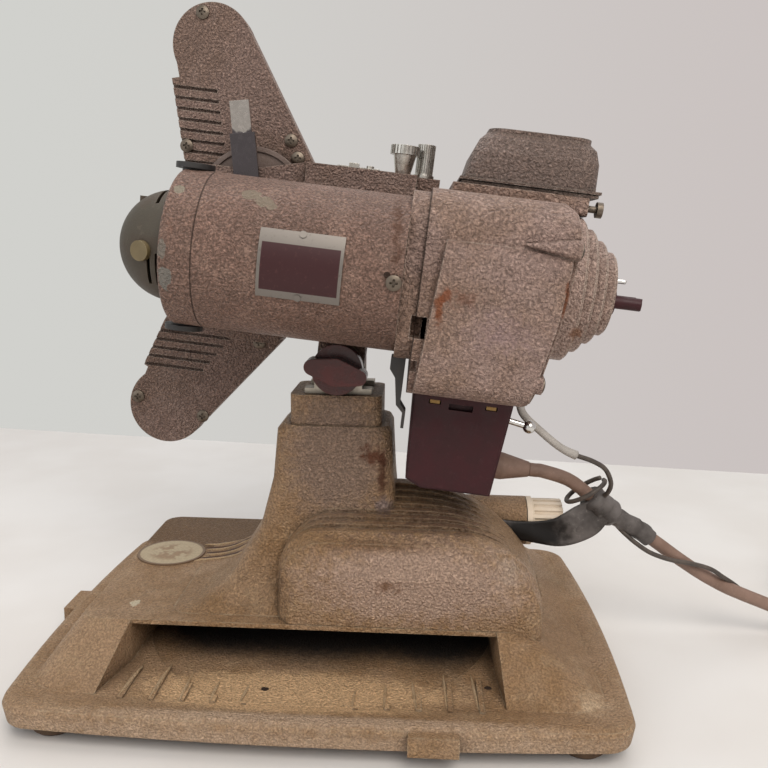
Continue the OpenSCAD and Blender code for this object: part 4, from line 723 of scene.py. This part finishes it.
# Cuff and sleeve of tape wound on the cord, between two places in metres along its shown stretch
cuffFacts = {"from": 0.0395, "to": 0.0600, "radius": 7.4, "lift": 0.5, "turnMm": 7.0,
             "sides": 28, "rings": 34}
sleeveFacts = {"from": 0.0600, "to": 0.0865, "radius": 5.2, "lift": 0.35, "turnMm": 8.0,
               "sides": 24, "rings": 30}
# Of both: the least radius, how fast the ends draw in to the cord, and the lumps as height, count and twist
windingFacts = {"innerMm": 4.1, "drawIn": 9, "lumps": ((0.22, 3, 9), (0.16, 5, -17))}


def cordStretch(start, end, count):  # evenly spaced points of the shown cord
    marks = [0.0]
    for a, b in zip(shownCord, shownCord[1:]):
        marks.append(marks[-1] + (b - a).length)
    found = []
    for k in range(count):
        want = start + (end - start) * k / (count - 1)
        i = min(max(int(np.searchsorted(marks, want)) - 1, 0), len(shownCord) - 2)
        share = (want - marks[i]) / (marks[i + 1] - marks[i])
        found.append(shownCord[i].lerp(shownCord[i + 1], share))
    return found


def woundTape(name, facts):
    length = (facts["to"] - facts["from"]) * 1000
    inner = windingFacts["innerMm"]

    def outline(s):
        close = min(1.0, min(s, 1 - s) * windingFacts["drawIn"])
        points = []
        for k in range(facts["sides"]):
            angle = 2 * math.pi * k / facts["sides"]
            lap = (s * length / facts["turnMm"] + k / facts["sides"]) % 1.0
            uneven = sum(size * math.sin(n * angle + twist * s) for size, n, twist in windingFacts["lumps"])
            full = (facts["radius"] - inner) * (0.55 + 0.45 * close)
            r = (inner + full + facts["lift"] * lap + uneven) / 1000
            points.append((r * math.cos(angle), r * math.sin(angle)))
        return points

    return sweep(name, cordStretch(facts["from"], facts["to"], facts["rings"]), outline, "frictionTape")


cuff = woundTape("tapeCuff", cuffFacts)
sleeve = woundTape("tapeSleeve", sleeveFacts)

# Band of the same tape from behind the hump, in front of the knob, up to the cuff: its middle line, widths,
# thickness, crown and ripple in millimetres
bandFacts = {"route": [(86, 2.62, 71.5), (104, 2.62, 70), (116, 2.62, 69.5), (124, 2.8, 70),
                       (131, 3.2, 72.2), (138, 3.7, 76), (143, 4.0, 80), (147, 4.0, 83.5)],
             "width": [10.0, 11.0, 13.5, 16.5, 19.0, 20.0, 18.0, 14.0],
             "thick": 1.3, "crown": 0.9, "ripple": 0.5, "steps": 8, "rows": 10}


def tapeBand():
    route = smoothPath([basePoint(*p) for p in bandFacts["route"]], bandFacts["steps"])
    wide = [v.x for v in smoothPath([Vector((w, 0, 0)) for w in bandFacts["width"]], bandFacts["steps"])]
    rings, faces, rows = [], [], bandFacts["rows"]
    shares = [k / rows - 0.5 for k in range(rows + 1)]
    front, half = Vector((0, -1, 0)), bandFacts["thick"] / 2
    for i, here in enumerate(route):
        way = (route[min(i + 1, len(route) - 1)] - route[max(i - 1, 0)]).normalized()
        across = (front - way * way.dot(front)).normalized()
        height = across.cross(way)
        section = []
        for v in shares:
            bulge = bandFacts["ripple"] * math.sin(i * 0.21 + v * 5) + bandFacts["crown"] * (0.25 - v * v)
            section.append((v * wide[i], half + bulge))
        for v in shares[::-1]:
            section.append((v * wide[i], -half + bandFacts["crown"] * (0.25 - v * v)))
        rings += [here + height * (a / 1000) + across * (b / 1000) for a, b in section]
    count = 2 * (rows + 1)
    for i in range(len(route) - 1):
        faces += [[i * count + k, i * count + (k + 1) % count, (i + 1) * count + (k + 1) % count,
                   (i + 1) * count + k] for k in range(count)]
    last = (len(route) - 1) * count
    faces += [list(range(count)), [last + k for k in range(count)]]
    return meshPiece("tapeBand", rings, faces, "frictionTape")


band = tapeBand()
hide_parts("cord_strap")

# Thin wire from the lamp house: a grey sleeve on its first part, then round the cord in a slack loop and
# in under the tape
wireFacts = {"diameter": 2.6, "sides": 12, "sleeveRadius": 2.1, "sleeveShare": (0.06, 0.5),
             "sleeveSides": 16, "flare": 0.35, "flareShare": 0.2,
             "route": [(92.95, -16, 153.43), (96, -16, 149.5), (98.6, -16, 141), (108, -15, 132),
                       (119, -14, 123.2), (128, -12.5, 118.6), (137, -10.5, 115.2), (145, -7.5, 110),
                       (149.6, -3.5, 101), (149.4, 2, 93.5), (146.8, 6, 90)],
             "loopMiddle": (138.5, 6.2, 93.0), "loopWide": (9.6, 0, 6.8), "loopDeep": (1.8, -7.4, 1.0),
             "loopSteps": 22, "loopTurn": 0.94, "loopRise": 1.2,
             "tail": [(157, 12.6, 73.5), (160, 12.0, 70.2), (163.5, 10.6, 67), (169.5, 9.6, 62.2),
                      (178, 9.4, 56.8), (190, 10.6, 52.4), (203, 12.8, 49.6), (214.6, 15, 45.8),
                      (224, 18.6, 39.4), (233, 25.5, 32.6), (240, 29, 27), (246, 29.5, 23.5)]}


def wireLoop():  # one slack turn round the cord, front side first
    middle, wide, deep = (Vector(wireFacts[k]) for k in ("loopMiddle", "loopWide", "loopDeep"))
    turn = []
    for k in range(wireFacts["loopSteps"] + 1):
        share = k / wireFacts["loopSteps"]
        angle = 2 * math.pi * wireFacts["loopTurn"] * share
        rise = Vector((0, 0, wireFacts["loopRise"] * share))
        turn.append(middle + wide * math.cos(angle) + deep * math.sin(angle) + rise)
    return turn


def wirePiece(name, path):
    outline = ring(wireFacts["diameter"] / 2000, wireFacts["sides"])
    return sweep(name, path, lambda s: outline, "wireVinyl")


wirePath = smoothPath([basePoint(*p) for p in wireFacts["route"]], 6)
wire = wirePiece("earthWire", wirePath)
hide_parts("earth_wire")
loop = wirePiece("wireLoop", smoothPath([basePoint(*p) for p in wireLoop()], 3))
tail = wirePiece("wireTail", smoothPath([basePoint(*p) for p in wireFacts["tail"]], 6))


def greySleeve():  # slid over the wire where it leaves the lamp house; its far end is cut and a little flared
    first, last = (round(v * (len(wirePath) - 1)) for v in wireFacts["sleeveShare"])

    def outline(s):
        flare = wireFacts["flare"] * max(0, s - 1 + wireFacts["flareShare"]) / wireFacts["flareShare"]
        return ring((wireFacts["sleeveRadius"] + flare) / 1000, wireFacts["sleeveSides"])

    return sweep("wireSleeve", wirePath[first:last + 1], outline, "sleeveVinyl")


wireSleeve = greySleeve()
print("wire length:", round(pathLength(wirePath), 3))

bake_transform(cordPiece)
for piece in (wire, wireSleeve):
    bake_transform(piece)
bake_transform(loop)
for piece in (cuff, sleeve, band, tail):
    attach(piece, "base")
print("cords made")


# Speed-line ribs cast in the deck, from the badge up the foot of the column: pixels of the photograph,
# laid on the castings
ribFacts = {
    "lines": [[(205, 544.6), (214, 545.0), (223.3, 544.5), (234.8, 542.2), (246.3, 538.2), (252, 535.5)],
              [(208, 549.9), (216, 549.9), (225, 548.9), (236.5, 545.9), (247.5, 540.5), (253, 537.2)],
              [(205.5, 555.2), (215.5, 554.7), (226, 553.3), (238, 549.9), (248.5, 543.6), (254.5, 539.2)],
              [(193, 560.8), (208, 559.6), (224.5, 557.8), (238.5, 554.2), (250, 547.3), (256, 541.2)]],
    "width": 1.5, "height": 0.9, "sink": 0.4, "gap": {"width": 3.0, "height": 0.2, "sink": 0.3}}

# Short ribs cast in the front tray, their crowns painted bright as a highlight
trayFacts = {
    "lines": [[(145, 663), (131.5, 679.5), (118, 696)], [(173, 663), (161, 680.5), (149, 698)],
              [(194, 672), (186.5, 686.5), (179, 701)], [(220, 681), (215, 691), (210, 701)],
              [(249, 685.5), (244.5, 694), (240, 702)], [(355.5, 691), (353.7, 699), (352, 707)],
              [(386, 686), (385, 697), (383.5, 708)], [(412, 682), (414, 695.5), (416, 709)],
              [(443, 674.5), (445, 692), (447, 709.5)], [(470.6, 675), (474.6, 692.5), (478.6, 710)]],
    "width": 1.7, "height": 0.9, "sink": 0.4}

# Of all strips: the section's crown as shares of the half width and height, the longest leap between two
# spots on the castings in metres, and the spots over which an end thins out
stripFacts = {"crown": [(-0.75, 0.45), (-0.3, 0.95), (0.3, 0.95), (0.75, 0.45)], "leap": 0.009,
              "taper": 4, "steps": 6}


def castingSurface():
    trees = []
    for name in ("base_casting", "pedestal"):
        mesh = nodes[name].data
        trees.append(BVHTree.FromPolygons([v.co for v in mesh.vertices],
                                          [list(p.vertices) for p in mesh.polygons]))
    return trees


def firstHit(trees, px, py):
    hits = [tree.ray_cast(view["at"], sightLine(px, py)) for tree in trees]
    hits = [h for h in hits if h[0] is not None]
    return min(hits, key=lambda h: h[3]) if hits else None


def castLines(name, lines, facts, finish):  # each line of pixels becomes a low strip on the castings
    trees = castingSurface()
    points, faces = [], []
    for line in lines:
        pixels = smoothPath([Vector((x, y, 0)) for x, y in line], stripFacts["steps"])
        hits = [firstHit(trees, p.x, p.y) for p in pixels]
        hits = [h for h in hits if h]
        kept = hits[:1]
        for hit in hits[1:]:
            if (hit[0] - kept[-1][0]).length < stripFacts["leap"]:
                kept.append(hit)
        start = len(points)
        shape = [(-1.0, -facts["sink"])] + stripFacts["crown"] + [(1.0, -facts["sink"])]
        for i, (here, normal, _, _) in enumerate(kept):
            way = (kept[min(i + 1, len(kept) - 1)][0] - kept[max(i - 1, 0)][0]).normalized()
            side = way.cross(normal).normalized()
            thin = min(1.0, 0.25 + 0.75 * min(i, len(kept) - 1 - i) / stripFacts["taper"])
            for a, b in shape:
                rise = facts["height"] * thin * b if b > 0 else b
                points.append(here + side * (a * thin * facts["width"] / 2000) + normal * (rise / 1000))
        count = len(shape)
        for i in range(len(kept) - 1):
            for k in range(count):
                a, b = start + i * count + k, start + i * count + (k + 1) % count
                faces.append([a, b, b + count, a + count])
        faces.append([start + k for k in range(count)])
        faces.append([start + (len(kept) - 1) * count + k for k in range(count)])
    return meshPiece(name, points, faces, finish)


def between(lower, upper):  # the line half way between two lines of pixels
    return [((a[0] + b[0]) / 2, (a[1] + b[1]) / 2) for a, b in zip(lower, upper)]


# The ribs wear the paler enamel, a painted highlight
ribs = castLines("speedLines", ribFacts["lines"], ribFacts, "ribHighlightEnamel")
trayRibs = castLines("trayRibs", trayFacts["lines"], trayFacts, "ribHighlightEnamel")
# Dark brown strips of painted shade in the gaps between the speed lines
gaps = [between(a, b) for a, b in zip(ribFacts["lines"], ribFacts["lines"][1:])]
grooves = castLines("speedGrooves", gaps, ribFacts["gap"], "ribGapShade")
for piece in (ribs, grooves, trayRibs):
    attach(piece, "base")
print("ribs made")


# Table cloth and light: the cloth ends where it does in the photograph, runs on this far to the sides and to
# the camera, in metres, and the room's wall behind it is the world's own colour
stageFacts = {"farLeft": (0, 428), "farRight": (767, 474), "sideRun": 2, "nearRun": 4, "floor": "#e0dbd6",
              "folds": "#e6e2de", "foldMm": 120.0, "wallLeft": "#d1d1cd", "wallRight": "#cac2c0",
              "room": "#d8dadc", "roomStrength": 0.55}


def onFloor(px, py):
    ray = sightLine(px, py)
    return view["at"] + ray * (-view["at"].z / ray.z)


def tableCloth():
    material, tree, place = newMaterial("tableCloth")
    folds = clouds(tree, place, stageFacts["foldMm"], 0.35, 0.68, 3.0, 0.5)
    colour = coat(tree, stageFacts["floor"], stageFacts["folds"], folds)
    closeMaterial(tree, {"Roughness": 0.9, "IOR": 1.4}, {"Base Color": colour})
    left, right = onFloor(*stageFacts["farLeft"]), onFloor(*stageFacts["farRight"])
    run, near = (right - left).normalized() * stageFacts["sideRun"], stageFacts["nearRun"]
    mesh = bpy.data.meshes.new("tableCloth")
    corners = [tuple(left - run), tuple(right + run), (near, -near, 0), (-near, -near, 0)]
    mesh.from_pydata(corners, [], [[0, 1, 2, 3]])
    mesh.materials.append(material)
    sheet = bpy.data.objects.new("tableCloth", mesh)
    bpy.context.scene.collection.objects.link(sheet)


tableCloth()

lamps = [
    {"name": "windowLight", "at": (0.45, -1.15, 1.35), "aim": 0.12, "size": 1.1, "watts": 20.0,
     "colour": "#fff9f2"},
    {"name": "roomLight", "at": (-1.0, -0.8, 0.8), "aim": 0.12, "size": 1.4, "watts": 4.0,
     "colour": "#f6f8ff"},
    {"name": "ceilingLight", "at": (0.0, 0.4, 1.5), "aim": 0.1, "size": 1.4, "watts": 9.0,
     "colour": "#ffffff"}]
for lamp in lamps:
    data = bpy.data.lights.new(lamp["name"], "AREA")
    data.shape, data.size, data.energy = "SQUARE", lamp["size"], lamp["watts"]
    data.color = linear(lamp["colour"])[:3]
    light = bpy.data.objects.new(lamp["name"], data)
    light.location = lamp["at"]
    light.rotation_mode = "QUATERNION"
    light.rotation_quaternion = (Vector((0, 0, lamp["aim"])) - light.location).to_track_quat("-Z", "Y")
    bpy.context.scene.collection.objects.link(light)

world = bpy.data.worlds.new("paleRoom")
bpy.context.scene.world = world
world.use_nodes = True
worldTree = world.node_tree
worldTree.nodes.clear()
rays = addNode(worldTree, "LightPath")
seen = rays.outputs["Is Camera Ray"]
for kind in ("Is Glossy Ray", "Is Transmission Ray"):
    seen = addNode(worldTree, "Math", {"operation": "MAXIMUM"}, {0: seen, 1: rays.outputs[kind]})
roomLight = {"Color": linear(stageFacts["room"]), "Strength": stageFacts["roomStrength"]}
room = addNode(worldTree, "Background", roomLight)
across = addNode(worldTree, "SeparateXYZ", {}, {0: addNode(worldTree, "TexCoord").outputs["Generated"]})
slide = addNode(worldTree, "MapRange", smooth(-0.5, 0.5), {"Value": across})
wall = coat(worldTree, stageFacts["wallLeft"], stageFacts["wallRight"], slide)
shown = addNode(worldTree, "Background", {"Strength": 1.0}, {"Color": wall})
both = addNode(worldTree, "MixShader", {}, {0: seen, 1: room, 2: shown})
addNode(worldTree, "OutputWorld", {}, {"Surface": both})
bpy.context.scene.view_settings.view_transform = "Standard"
print("stage and light set")
